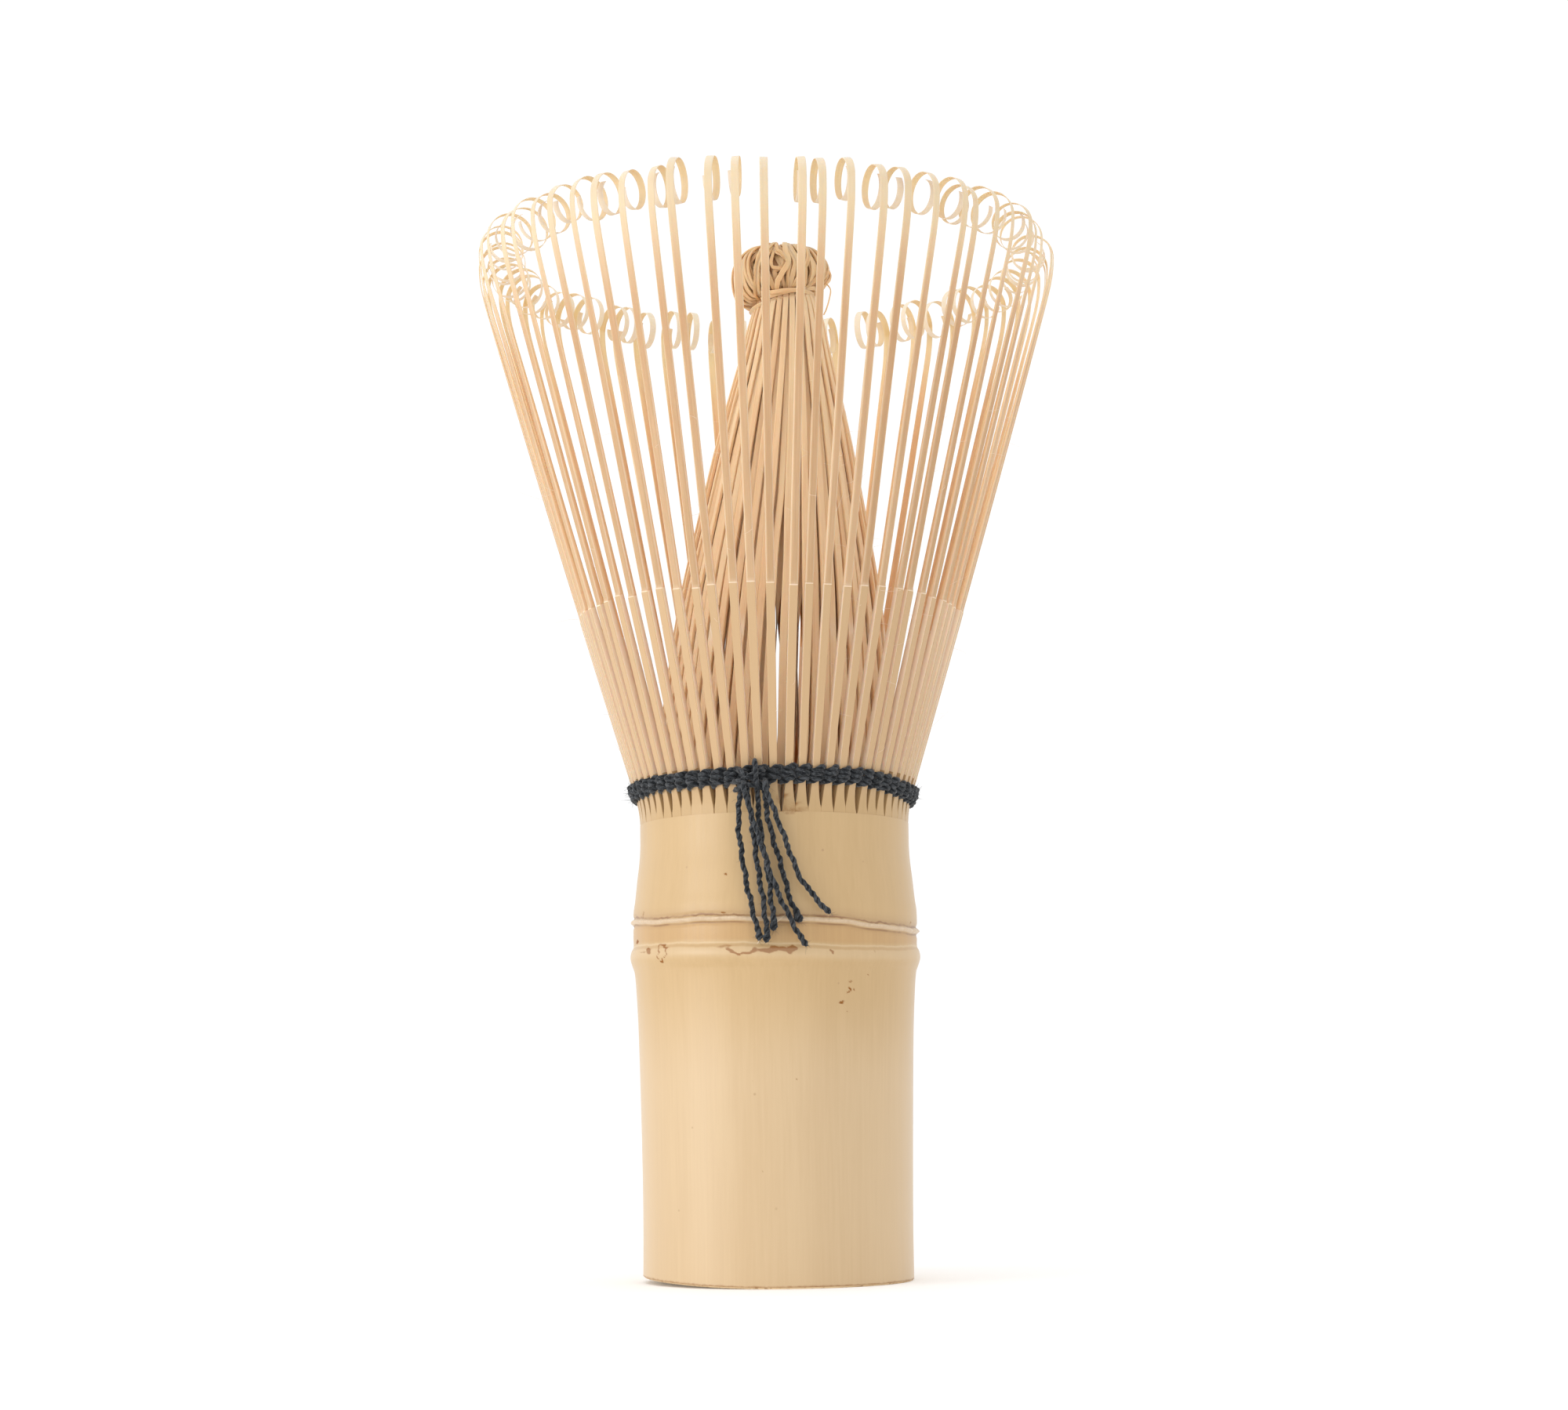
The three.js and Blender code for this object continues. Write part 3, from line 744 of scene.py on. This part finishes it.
def tine_section(left, right, thickness, chamfer, drop):
    """Eight corners round a tine, skin side first: across (from left to right) and out from the skin."""
    c = min(chamfer, thickness * 0.35)
    d = min(0.06, thickness * 0.25)

    def corners(reach):
        return [(reach - c, -drop), (reach, -drop - c * 0.8), (reach, d - thickness), (reach - d, -thickness)]

    skin, *split = [(-u, v) for u, v in corners(left)]
    return [skin, *corners(right), *reversed(split)]


def tine_azimuth(tine):
    return (tine + 0.5) * PITCH + CROWN_TURN + STRAY_AZIMUTH * vary(tine, 1)


def tine_line(tine):
    """The tine's skin line in its own plane: distance out, height, heading, and share of the curl."""
    splay = SPLAY + STRAY_SPLAY * vary(tine, 3)
    straight = STRAIGHT + 0.3 * vary(tine, 4)
    scale = 1 + 0.08 * vary(tine, 5)
    turn = CURL_TURN + 40 * DEGREE * vary(tine, 6)
    bend = splay / ROOT_BEND
    bow = (SPLAY - SPLAY_AT_SHOULDER) / straight
    lean = splay - (SPLAY - SPLAY_AT_SHOULDER)
    tight = (1 / (CURL_RADIUS_START * scale), 1 / (CURL_RADIUS_END * scale))
    curl = 2 * turn / (tight[0] + tight[1])
    stretches = [
        (ROOT_STRAIGHT, 0, 0, 3),
        (ROOT_BEND, bend, bend, 7),
        (straight, -bow, -bow, 30),
        (SHOULDER, 0, -2 * lean / SHOULDER, 8),
        (curl, -tight[0], -tight[1], 42),
    ]
    x, y, heading = ROOT_RADIUS, ROOT_Z, 0.0
    line = [(x, y, heading, 0.0)]
    fine = 8
    for number, (length, bend_from, bend_to, steps) in enumerate(stretches):
        for i in range(steps):
            for j in range(fine):
                share = (i + (j + 0.5) / fine) / steps
                ds = length / steps / fine
                change = (bend_from + (bend_to - bend_from) * share) * ds
                x += math.sin(heading + change / 2) * ds
                y += math.cos(heading + change / 2) * ds
                heading += change
            line.append((x, y, heading, (i + 1) / steps if number == 4 else 0.0))
    return line


def slit_bottom(tine):
    """Height of the bottom of the slit just before a tine."""
    at_front = max(0, -math.sin(tine * PITCH + CROWN_TURN))
    return SLIT_BOTTOM + 0.3 * at_front + 0.4 * vary(tine % TINE_COUNT, 11)


def tine_widths(tine, z):
    """How far a tine reaches to each side: to the next tine at the foot, and narrower above the slits."""
    width = curve_at(TINE_WIDTH, z) * (1 + 0.05 * vary(tine, 12))
    shoulder = ROOT_RADIUS * PITCH / 2
    edges = []
    for slit in (slit_bottom(tine), slit_bottom(tine + 1)):
        open_share = min(max((z - slit) / SLIT_TAPER, 0), 1) ** 0.6
        edges.append(lerp(shoulder, width / 2, open_share))
    return edges


def place_tine(tine, out, side, z):
    """A point of a tine's own plane, leant, turned and shifted into the crown as in the CAD part."""
    lean = -STRAY_LEAN * vary(tine, LEAN_PATTERN)
    y = side * math.cos(lean) - (z - ROOT_Z) * math.sin(lean)
    h = ROOT_Z + side * math.sin(lean) + (z - ROOT_Z) * math.cos(lean)
    a = tine_azimuth(tine)
    shift = CROWN_SHIFT * max(0, h - SLIT_Z) / (RIM_Z - SLIT_Z)
    return (out * math.cos(a) - y * math.sin(a) + shift, out * math.sin(a) + y * math.cos(a), h)




def add_outer_tine(builder, tine):
    mark = MARK_Z + 0.2 * vary(tine, 13)
    drift = 0.45 * vary(tine, 7)
    twist = 9 * DEGREE * vary(tine, 8)
    tone = 0.8 * vary(tine, 14)
    rows, grain, marks, heights = [], [], [], []
    along = 0
    previous = None
    line = tine_line(tine)
    for step in MARK_STEPS:
        n = next(n for n, point in enumerate(line) if point[1] > mark + step)
        a, b = line[n - 1], line[n]
        share = (mark + step - a[1]) / (b[1] - a[1])
        line.insert(n, tuple(lerp(p, q, share) for p, q in zip(a, b)))
    for x, y, heading, curled in line:
        if previous:
            along += math.hypot(x - previous[0], y - previous[1])
        previous = (x, y)
        shaved = smooth(mark - 0.1, mark + 0.35, y)
        if curled:
            left, right = CURL_HALF_WIDTH, CURL_HALF_WIDTH
            thickness = lerp(TINE_THICKNESS[-1][1], TIP_THICKNESS, curled)
            drop, turned, edge = 0.05, twist, 0
            pale = 0.5 + 0.4 * smooth(0, 0.2, curled)
        else:
            left, right = tine_widths(tine, y)
            thickness = curve_at(TINE_THICKNESS, y)
            # The culm's skin covers the roots. Where it's shaved off, the tine's outer edges are painted
            # pale: a painted highlight along them.
            drop = 0.06 * shaved + 0.03 * (1 - smooth(HANDLE_TOP, HANDLE_TOP + 0.4, y))
            turned, edge = twist * smooth(75, 107, y), 0.5 * shaved
            tick = (0.14 + 0.12 * vary(tine, 9)) * bump(y, mark + 0.1, 0.25)
            rooted = 0 if shaved > 0.5 else smooth(HANDLE_TOP + 0.8, HANDLE_TOP + 4, y)
            pale = max(tick, 0.5 * smooth(95, 108, y), rooted)
        taper = 1 + 0.08 * math.sin(math.pi * min(1, 2 * curled)) - 0.1 * curled
        chamfer = lerp(0.05, 0.16, shaved) * (1 - 0.5 * curled)
        ring, ring_grain = [], []
        for u, v in tine_section(left * taper, right * taper, thickness, chamfer, drop):
            if y < ROOT_Z + 5:
                v -= u * u / (2 * ROOT_RADIUS)
            [(across, depth)] = turn_section([(u, v)], turned)
            out, z = x + depth * math.cos(heading), y - depth * math.sin(heading)
            ring.append(place_tine(tine, out, across + drift * curled**1.5, z))
            ring_grain.append((u + 7.3 * tine, v + 3.1 * tine, along + 11 * tine))
        # Below the mark, where the skin is left, the split faces are painted browner: painted shade in the
        # gaps between the tines.
        gap_shade = 0.45 * smooth(ROOT_SKIN_TOP, ROOT_SKIN_TOP + 3, y) * (1 - shaved)
        ring_marks = []
        for j in range(8):
            on_skin = j in (0, 1, 2, 7)
            stain_and_shade = 0 if on_skin else gap_shade
            if on_skin and y < 50:
                stain_and_shade = stain_at(math.atan2(ring[j][1], ring[j][0]), y)
            inside = 0.45 if curled and not on_skin else 1
            ring_marks.append((stain_and_shade, max(pale, edge) if j in (2, 7) else pale * inside, tone))
        rows.append(ring)
        grain.append(ring_grain)
        marks.append(ring_marks)
        heights.append(y)

    def slot_of(row, column):
        """Skin (0) on the outer face up to the mark and all round the root, then shaved (2) and split (1)."""
        height = heights[min(row, len(heights) - 1)]
        if height < ROOT_SKIN_TOP:
            return 0
        if column in (2, 3, 4, 5, 6):
            return 1
        return 2 if height > mark else 0

    builder.rings(rows, grain, marks, slot_of)


def add_hairs(builder, tine, rng):
    """Loose fibres that stand off a tine's shaved sides."""
    low, high = HAIR_HEIGHTS
    line = [point for point in tine_line(tine) if low < point[1] < high]
    for _ in range(rng.randrange(1, 4)):
        x, y, _, _ = rng.choice(line)
        side = 0.35 * rng.choice((-1, 1))
        point = np.array(place_tine(tine, x - 0.1, side, y))
        outward = np.array([math.cos(tine_azimuth(tine)), math.sin(tine_azimuth(tine)), 0])
        away = unit(outward * 0.7 + stray(rng, 0.6))
        fibre(builder, point, away, rng.uniform(0.5, 2.2), 0.016, rng, slot=1)


def make_outer_tines(materials):
    rng = random.Random(5)
    for wedge in range(WEDGES):
        builder = Builder()
        for tine in range(wedge * TINES_PER_WEDGE, (wedge + 1) * TINES_PER_WEDGE):
            add_outer_tine(builder, tine)
            add_hairs(builder, tine, rng)
        number = f"{wedge + 1:02d}"
        tines = builder.make(f"wedge_{number}_tines", materials, sharp=28)
        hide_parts(f"outer_tines_{number}")
        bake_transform(tines)


# ---- inner tines ----
INNER_OUTLINE = [(44, 12.8), (52, 12.8), (56, 12.55), (62, 12), (71.3, 10.85)]
INNER_OUTLINE += [(81, 8.95), (90.9, 6.85), (99, 4.85), (103, 3.95), (105.5, 3)]
INNER_WIDTH = [(44, 1.15), (52, 1.05), (58, 0.82), (80, 0.72), (104, 0.58)]
INNER_THICKNESS = [(44, 0.5), (70, 0.42), (104, 0.3)]
INNER_TWIST = 10 * DEGREE
# The bundle parts along upright planes right through it: x, and the heights where they open and close.
INNER_SLITS = [(0.84, 49, 55, 73, 82), (2.78, 50, 56, 66, 75)]
SLIT_PUSH = 0.42
SLIT_MIDDLE = 62
DEEP = 0.9  # how far the deep tines lie behind the others
NEAR_SLIT = 0.6  # deep tines this close to a plane are threads up to the slit's end


def inner_centre(z):
    return NECK_SHIFT * max(0, z - SLIT_Z) / (NECK_Z - SLIT_Z)


def inner_x(root, z):
    """Where a tine is, from left to right, in a bundle that doesn't part."""
    share = max(0, z - 46) / (NECK_Z - 46)
    return curve_at(INNER_OUTLINE, z) * math.cos(root + INNER_TWIST * share**1.5) + inner_centre(z)


def inner_azimuth(root, seed, z, stands_back):
    """The bundle twists a little towards its knot, and most of its tines stand back from the slits."""
    share = max(0, z - 46) / (NECK_Z - 46)
    a = root + 0.7 * DEGREE * vary(seed, 21) * smooth(0, 0.2, share) + INNER_TWIST * share**1.5
    push = 0
    for plane, low, low_full, high_full, high in INNER_SLITS if stands_back else []:
        away = math.copysign(1, inner_x(root, SLIT_MIDDLE) - plane)
        off = away * (inner_x(root, z) - plane)
        stand_back = (off + math.sqrt(off * off + 4 * SLIT_PUSH**2)) / 2 - off
        push += away * stand_back * smooth(low, low_full, z) * (1 - smooth(high_full, high, z))
    faces = math.sin(a) / curve_at(INNER_OUTLINE, z)
    return a - push * faces * abs(math.sin(a)) ** 8


def add_inner_tine(builder, root, seed, deep, at_slit=False):
    """One inner tine from its root azimuth up to the knot. Deep ones lie behind the gaps of the others."""
    layer = seed % 2
    heights = np.linspace(44.5, 105.4, 34)
    path, out = [], []
    for z in heights:
        a = inner_azimuth(root, seed, z, not at_slit)
        share = (z - 44.5) / 60
        r = curve_at(INNER_OUTLINE, z) - (0.05 + 0.5 * layer) * share - deep
        r += 0.2 * vary(seed, 23) * math.sin(math.pi * share) * share
        path.append((r * math.cos(a) + inner_centre(z), r * math.sin(a), z))
        out.append((math.cos(a), math.sin(a), 0))

    def section_at(n):
        z = heights[n]
        width = curve_at(INNER_WIDTH, z) * (1 + 0.06 * vary(seed, 27))
        if at_slit:
            width *= max(0.06, smooth(66, 72, z))
        section = tine_section(width / 2, width / 2, curve_at(INNER_THICKNESS, z), 0.07, 0)
        return section, 0.3 * vary(seed, 24) * smooth(50, 80, z)

    def marks_at(n):
        return 0, 0.8 * bump(heights[n], MARK_Z - 3.2 + 0.3 * vary(seed, 28), 0.2), vary(seed, 26)

    path = np.array(path)
    add_strip(builder, path, np.array(out), section_at, (5.7 * seed, 2.3 * seed, 9 * seed), marks_at)
    return path


def make_inner_tines(material):
    rng = random.Random(11)
    planes = [plane for plane, *_ in INNER_SLITS]
    for wedge in range(WEDGES):
        builder = Builder()
        for tine in range(wedge * TINES_PER_WEDGE, (wedge + 1) * TINES_PER_WEDGE):
            root = (tine + 0.5) * PITCH + CROWN_TURN
            path = add_inner_tine(builder, root, tine, 0)
            gap = root + PITCH / 2
            at_slit = min(abs(inner_x(gap, SLIT_MIDDLE) - plane) for plane in planes) < NEAR_SLIT
            add_inner_tine(builder, gap, TINE_COUNT + tine, DEEP, at_slit)
            # A few loose fibres stand off the shaved faces.
            for _ in range(2):
                point = path[rng.randrange(8, 28)]
                away = unit(np.array([point[0], point[1], 0]) / 8 + stray(rng, 0.6))
                fibre(builder, point + away * 0.1, away, rng.uniform(0.5, 2), 0.018, rng)
        number = f"{wedge + 1:02d}"
        tines = builder.make(f"inner_wedge_{number}_tines", [material], sharp=28)
        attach(tines, "root")
        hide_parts(f"inner_tines_{number}")


# ---- knot of the inner tips ----
def ball_point(azimuth, latitude, scale):
    """A point on the flattened ball, scaled from its centre. The ball is squarer than an ellipsoid."""
    r = KNOT_RADIUS * scale * max(0, math.cos(latitude)) ** 0.7
    sag = 0.18 * r * math.cos(azimuth) * smooth(0.3, -0.6, latitude)  # it hangs lower at the left
    height = KNOT_Z + KNOT_HALF_HEIGHT * scale * math.sin(latitude) + sag
    return (r * math.cos(azimuth) + KNOT_X, r * math.sin(azimuth), height)


def add_ribbon(builder, path, width, thickness, tone, seed, twist, centre):
    """A flat strip of bamboo along a path, its face turned away from centre."""
    path = np.array(path, float)

    def section_at(n):
        half = width / 2 * min(1, 0.55 + 2.5 * min(n, len(path) - 1 - n) / len(path))
        return tine_section(half, half, thickness, 0.06, 0), twist

    out = unit(path - np.array(centre, float))
    add_strip(builder, path, out, section_at, (4.1 * seed, 1.7 * seed, 6 * seed), lambda n: (0, 0.06, tone))


KNOT_HOLLOW = FRONT - 4 * DEGREE


def climbing_strand(start, turn, swing, low, top, scale):
    """From the neck up over the ball to its crown, where it dives in. Angles in degrees but start.

    The strands bow apart round a small hollow at the front."""
    path = []
    for t in np.linspace(0, 1, 30):
        dive = smooth(0.88, 1, t)
        latitude = lerp(low, top, t) * DEGREE
        azimuth = start + (turn * (t - 0.5) + swing * math.sin(math.pi * t)) * DEGREE
        off = angle_from(azimuth, KNOT_HOLLOW)
        hollow = 0.13 * bump(latitude, 0.02, 0.35) * bump(off, 0, 0.4) * smooth(0.85, 0.89, scale)
        azimuth += math.copysign(hollow, off)
        path.append(ball_point(azimuth, latitude, scale * (1 - 0.22 * dive - 0.1 * (1 - smooth(0, 0.12, t)))))
    return path


def make_inner_knot(material):
    """Tips that climb the ball in crossing swirls and dive in at the top, with a few round its foot."""
    builder = Builder()
    centre = ball_point(0, 0, 0)
    # A ball inside the strands, painted dark brown: painted shade in the gaps between them.
    shaded_core = []
    for n in range(15):
        latitude = lerp(-math.pi / 2, math.pi / 2, (n + 0.02) / 14.04)
        shaded_core.append([ball_point(j * TURN / 36, latitude, 0.8) for j in range(36)])
    builder.rings(shaded_core, shaded_core, [[(0.9, 0, 0)] * 36] * len(shaded_core))
    # Layers from the inside out: strands, scale, turn and swing on the way up.
    layers = [(36, 0.84, -50, 0), (38, 0.89, 30, -6), (38, 0.94, -34, 6), (32, 0.98, -16, -4)]
    layers += [(16, 1.01, 22, 8)]
    seed = 0
    for count, scale, turn, swing in layers:
        for n in range(count):
            seed += 1
            start = (n + 0.3 * vary(seed, 31)) * TURN / count
            about, across = turn + 12 * vary(seed, 32), swing + 9 * vary(seed, 33)
            low, top = -66 + 8 * vary(seed, 34), 80 + 6 * vary(seed, 35)
            path = climbing_strand(start, about, across, low, top, scale + 0.012 * vary(seed, 36))
            width = 0.47 + 0.12 * vary(seed, 37)
            add_ribbon(builder, path, width, 0.22, vary(seed, 38), seed, 0.25 * vary(seed, 39), centre)
    # Round its foot: latitude, tilt, start, turns and scale.
    wraps = [(-62, 3, -3.0, 0.75, 1.12), (-68, -4, -1.2, 0.7, 1.16), (-48, 9, -2.6, 0.42, 1.0)]
    wraps += [(-57, -8, -2.2, 0.5, 1.05), (-60, 5, 1.2, 0.6, 1.1), (-66, -3, 0.2, 0.7, 1.12)]
    for n, (latitude, tilt, start, turns, size) in enumerate(wraps):
        path = []
        for t in np.linspace(0, 1, 40):
            a = start + turns * TURN * t
            level = (latitude + tilt * math.cos(a - 1)) * DEGREE
            scale = size - 0.2 * (1 - smooth(0, 0.15, min(t, 1 - t)))
            path.append(ball_point(a, level, scale))
        add_ribbon(builder, path, 0.48, 0.24, vary(n, 40), 190 + n, 0, centre)
    # One tip has come loose at the side and bows out before it returns to the neck.
    loose = [(6.3, -1.0, 106.4), (6.75, -1.3, 105.6), (6.6, -1.5, 104.5)]
    loose += [(6.25, -1.5, 103.3), (5.95, -1.4, 102.7)]
    add_ribbon(builder, spline(loose, 8), 0.2, 0.12, 0.5, 95, 0, centre)
    knot = builder.make("inner_tips_knot", [material], sharp=28)
    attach(knot, "root")
    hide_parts("inner_tine_knot")


# ---- thread ----
PLY_TURN = 1.6  # length of one full turn of the two plies
BAND_YARN_RADIUS = 0.34
WRAP_YARN_RADIUS = 0.29
YARN_RADIUS = 0.3
FIBRE_RADIUS = 0.013


def add_yarn(builder, path, radius, seed, loop=False, ends=(1, 1)):
    """Two-ply yarn: a section of two lobes that turns along a path. ends scale its radius there."""
    path = np.array(path, float)
    out = path * np.array([1, 1, 0])
    _, normal, side = frames_along(path, unit(out), loop)
    lengths = arc_lengths(path)
    total = lengths[-1] + (np.linalg.norm(path[0] - path[-1]) if loop else 0)
    turns = max(1, round(2 * total / PLY_TURN)) / 2
    rows, grain, marks = [], [], []
    sides = 10
    for n in range(len(path)):
        share = lengths[n] / total
        turned = TURN * turns * share
        size = radius * (1 + 0.07 * math.sin(9.1 * lengths[n] + seed))
        size *= lerp(ends[0], 1, smooth(0, 0.06, share)) * lerp(1, ends[1], smooth(0.9, 0.97, share))
        if not loop:
            size *= 0.55 + 0.45 * smooth(0, 0.02, min(share, 1 - share))
        ring, ring_grain, ring_marks = [], [], []
        for j in range(sides):
            a = j * TURN / sides
            lobe = math.cos(a - turned) ** 2
            r = size * (0.76 + 0.24 * lobe)
            ring.append(path[n] + normal[n] * r * math.cos(a) + side[n] * r * math.sin(a))
            ring_grain.append((r * math.cos(a - turned) + seed, r * math.sin(a - turned), lengths[n] * 1.5))
            ring_marks.append((0, lobe, 0))
        rows.append(ring)
        grain.append(ring_grain)
        marks.append(ring_marks)
    builder.rings(rows, grain, marks, loop=loop)


# The band's height over its nominal one, by azimuth from the front.
BAND_LINE = [(-180, -0.05), (-90, 0), (-41, -0.05), (-15, 0.2), (0, 0.3), (25, 0.25), (40, 0.15)]
BAND_LINE += [(58, -0.25), (90, -0.65), (130, -0.4), (180, -0.05)]


def band_height(azimuth):
    wander = 0.06 * math.sin(5 * azimuth + 0.6) + 0.05 * math.sin(8 * azimuth + 2)
    wander += 0.03 * math.sin(17 * azimuth)
    return THREAD_Z + line_height(BAND_LINE, azimuth) + wander


def band_yarn(bundle, row):
    """One yarn of the twining: outside one tine, inside the next, right round the whisk."""
    per_tine = 12
    path = []
    for n in range(TINE_COUNT * per_tine):
        t = n / per_tine
        a = t * PITCH + CROWN_TURN
        swing = math.cos(math.pi * (t - 0.5 + bundle))
        swing = math.copysign(abs(swing) ** 0.7, swing)
        rise = math.sin(math.pi * (t - 0.5 + bundle))
        loose = 0.06 * math.sin(2.3 * t + 5 * row + 2 * bundle) + 0.04 * math.sin(5.9 * t + 3 * row)
        z = band_height(a) + row * 0.5 + 0.2 * rise + loose
        tine_skin = ROOT_RADIUS + math.tan(SPLAY) * (z - ROOT_Z - ROOT_STRAIGHT - ROOT_BEND / 2)
        r = tine_skin - 0.36 + 0.64 * swing + 0.08 * (row == 0) + 0.05 * math.sin(1.7 * t + row)
        path.append((r * math.cos(a), r * math.sin(a), z))
    return path


def on_front(points):
    """Points given as x, distance from the axis and height, on the front of the whisk."""
    return [(x, -math.sqrt(r * r - x * x), z) for x, r, z in points]


KNOT_WRAPS = [
    [
        (-1.9, 14.9, 51.9), (-1.85, 15.9, 52.25), (-1.8, 16.4, 51.9),
        (-1.75, 16.6, 51.0), (-1.7, 16.5, 50.1), (-1.55, 16.2, 49.2),
    ],
    [
        (-4.1, 14.9, 50.3), (-3.6, 16.0, 50.2), (-2.9, 16.4, 50.4),
        (-2.2, 16.4, 50.75), (-1.4, 16.1, 51.2), (-0.8, 15.2, 51.5),
    ],
    [
        (-3.6, 15.0, 51.5), (-3.3, 16.1, 51.25), (-2.7, 16.35, 50.8),
        (-1.9, 16.3, 50.3), (-1.1, 16.1, 49.85), (-0.5, 15.3, 49.6),
    ],
    [
        (-3.9, 15.0, 49.4), (-3.4, 16.1, 49.55), (-2.6, 16.4, 49.75),
        (-1.5, 16.4, 49.65), (-0.9, 15.9, 49.35),
    ],
]


def tail_path(route):
    """A hanging end: from inside the knot, then down the route of its CAD solid."""
    x, z, lift = route[0]
    points = [(x * 0.97, 15.7 + 0.7 * lift, 50.3)]
    points += [(px, curve_at(TAIL_PROFILE, pz) + pl, pz) for px, pz, pl in route]
    path = []
    for x, y, z in spline(on_front(points), 22):
        sway = 0.07 * math.sin(2.3 * z + 9 * route[0][0]) + 0.04 * math.sin(5.1 * z)
        path.append((x + smooth(0, 2, 49 - z) * sway, y, z))
    return path


def make_thread(material, fuzz_material, hair_material):
    rng = random.Random(7)
    fuzz = Builder()

    def add_fuzz(path, count, radius, length):
        for _ in range(count):
            point = np.array(path[rng.randrange(len(path))], float)
            away = unit(np.array([point[0], point[1], 0]) / 16 + stray(rng, 0.8))
            fibre(fuzz, point + away * radius * 0.8, away, length * rng.uniform(0.4, 1.3), FIBRE_RADIUS, rng)

    band = Builder()
    for bundle in (0, 1):
        for row in (-1, 0, 1):
            path = band_yarn(bundle, row)
            add_yarn(band, path, BAND_YARN_RADIUS, 3 * bundle + row, loop=True)
            add_fuzz([p for p in path if math.hypot(p[0], p[1]) > 14.9], 130, 0.3, 0.55)
    band_piece = band.make("twined_band", [material], sharp=60)
    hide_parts("thread_band")
    wraps = Builder()
    for n, points in enumerate(KNOT_WRAPS):
        path = spline(on_front(points), 14)
        add_yarn(wraps, path, WRAP_YARN_RADIUS, n)
        add_fuzz(path, 20, 0.3, 0.5)
    knot = wraps.make("tied_knot", [material], sharp=60)
    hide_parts("thread_knot")
    pieces = [band_piece, knot]
    thick_ends = {0: 1.3, 1: 1.4, 2: 1.5, 4: 1.7}
    for n, route in enumerate(TAIL_ROUTES):
        tail = Builder()
        path = tail_path(route)
        add_yarn(tail, path, YARN_RADIUS, 10 + n, ends=(1, thick_ends.get(n, 1.15)))
        add_fuzz(path, 40, YARN_RADIUS, 0.4)
        add_fuzz(path[-3:], 16, YARN_RADIUS * 0.5, 0.5)
        piece = tail.make(f"hanging_end_{n + 1:02d}", [material], sharp=60)
        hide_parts(f"thread_tail_{n + 1:02d}")
        pieces.append(piece)
    pieces.append(fuzz.make("thread_fuzz", [fuzz_material], sharp=180))
    caught = Builder()
    start = np.array([-1.75, -15.8, 33.9])
    fibre(caught, start, unit(np.array([1.4, -0.2, 2.1])), 2.6, 0.03, rng)
    hair = caught.make("caught_fibre", [hair_material], sharp=180)
    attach(hair, "root")
    for piece in pieces:
        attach(piece, "root")


# ---- assembly ----
make_camera()
make_floor()
make_light()
make_culm()
shaved = split_material("bamboo_shaved", (0.56, 0.385, 0.22), (0.48, 0.31, 0.16))
split = split_material("bamboo_split", (0.75, 0.49, 0.265), (0.60, 0.37, 0.18))
make_outer_tines([tine_skin_material(), split, shaved])
inner = split_material("bamboo_inner", (0.85, 0.59, 0.36), (0.75, 0.475, 0.265))
make_inner_tines(inner)
tips = split_material("bamboo_tips", (0.81, 0.51, 0.27), (0.60, 0.335, 0.145), gloss=0.12)
make_inner_knot(tips)
yarn = yarn_material("cotton_yarn", (0.088, 0.094, 0.102), (0.008, 0.010, 0.012))
fuzz = yarn_material("cotton_fuzz", (0.062, 0.068, 0.076), (0.026, 0.03, 0.034))
make_thread(yarn, fuzz, inner)
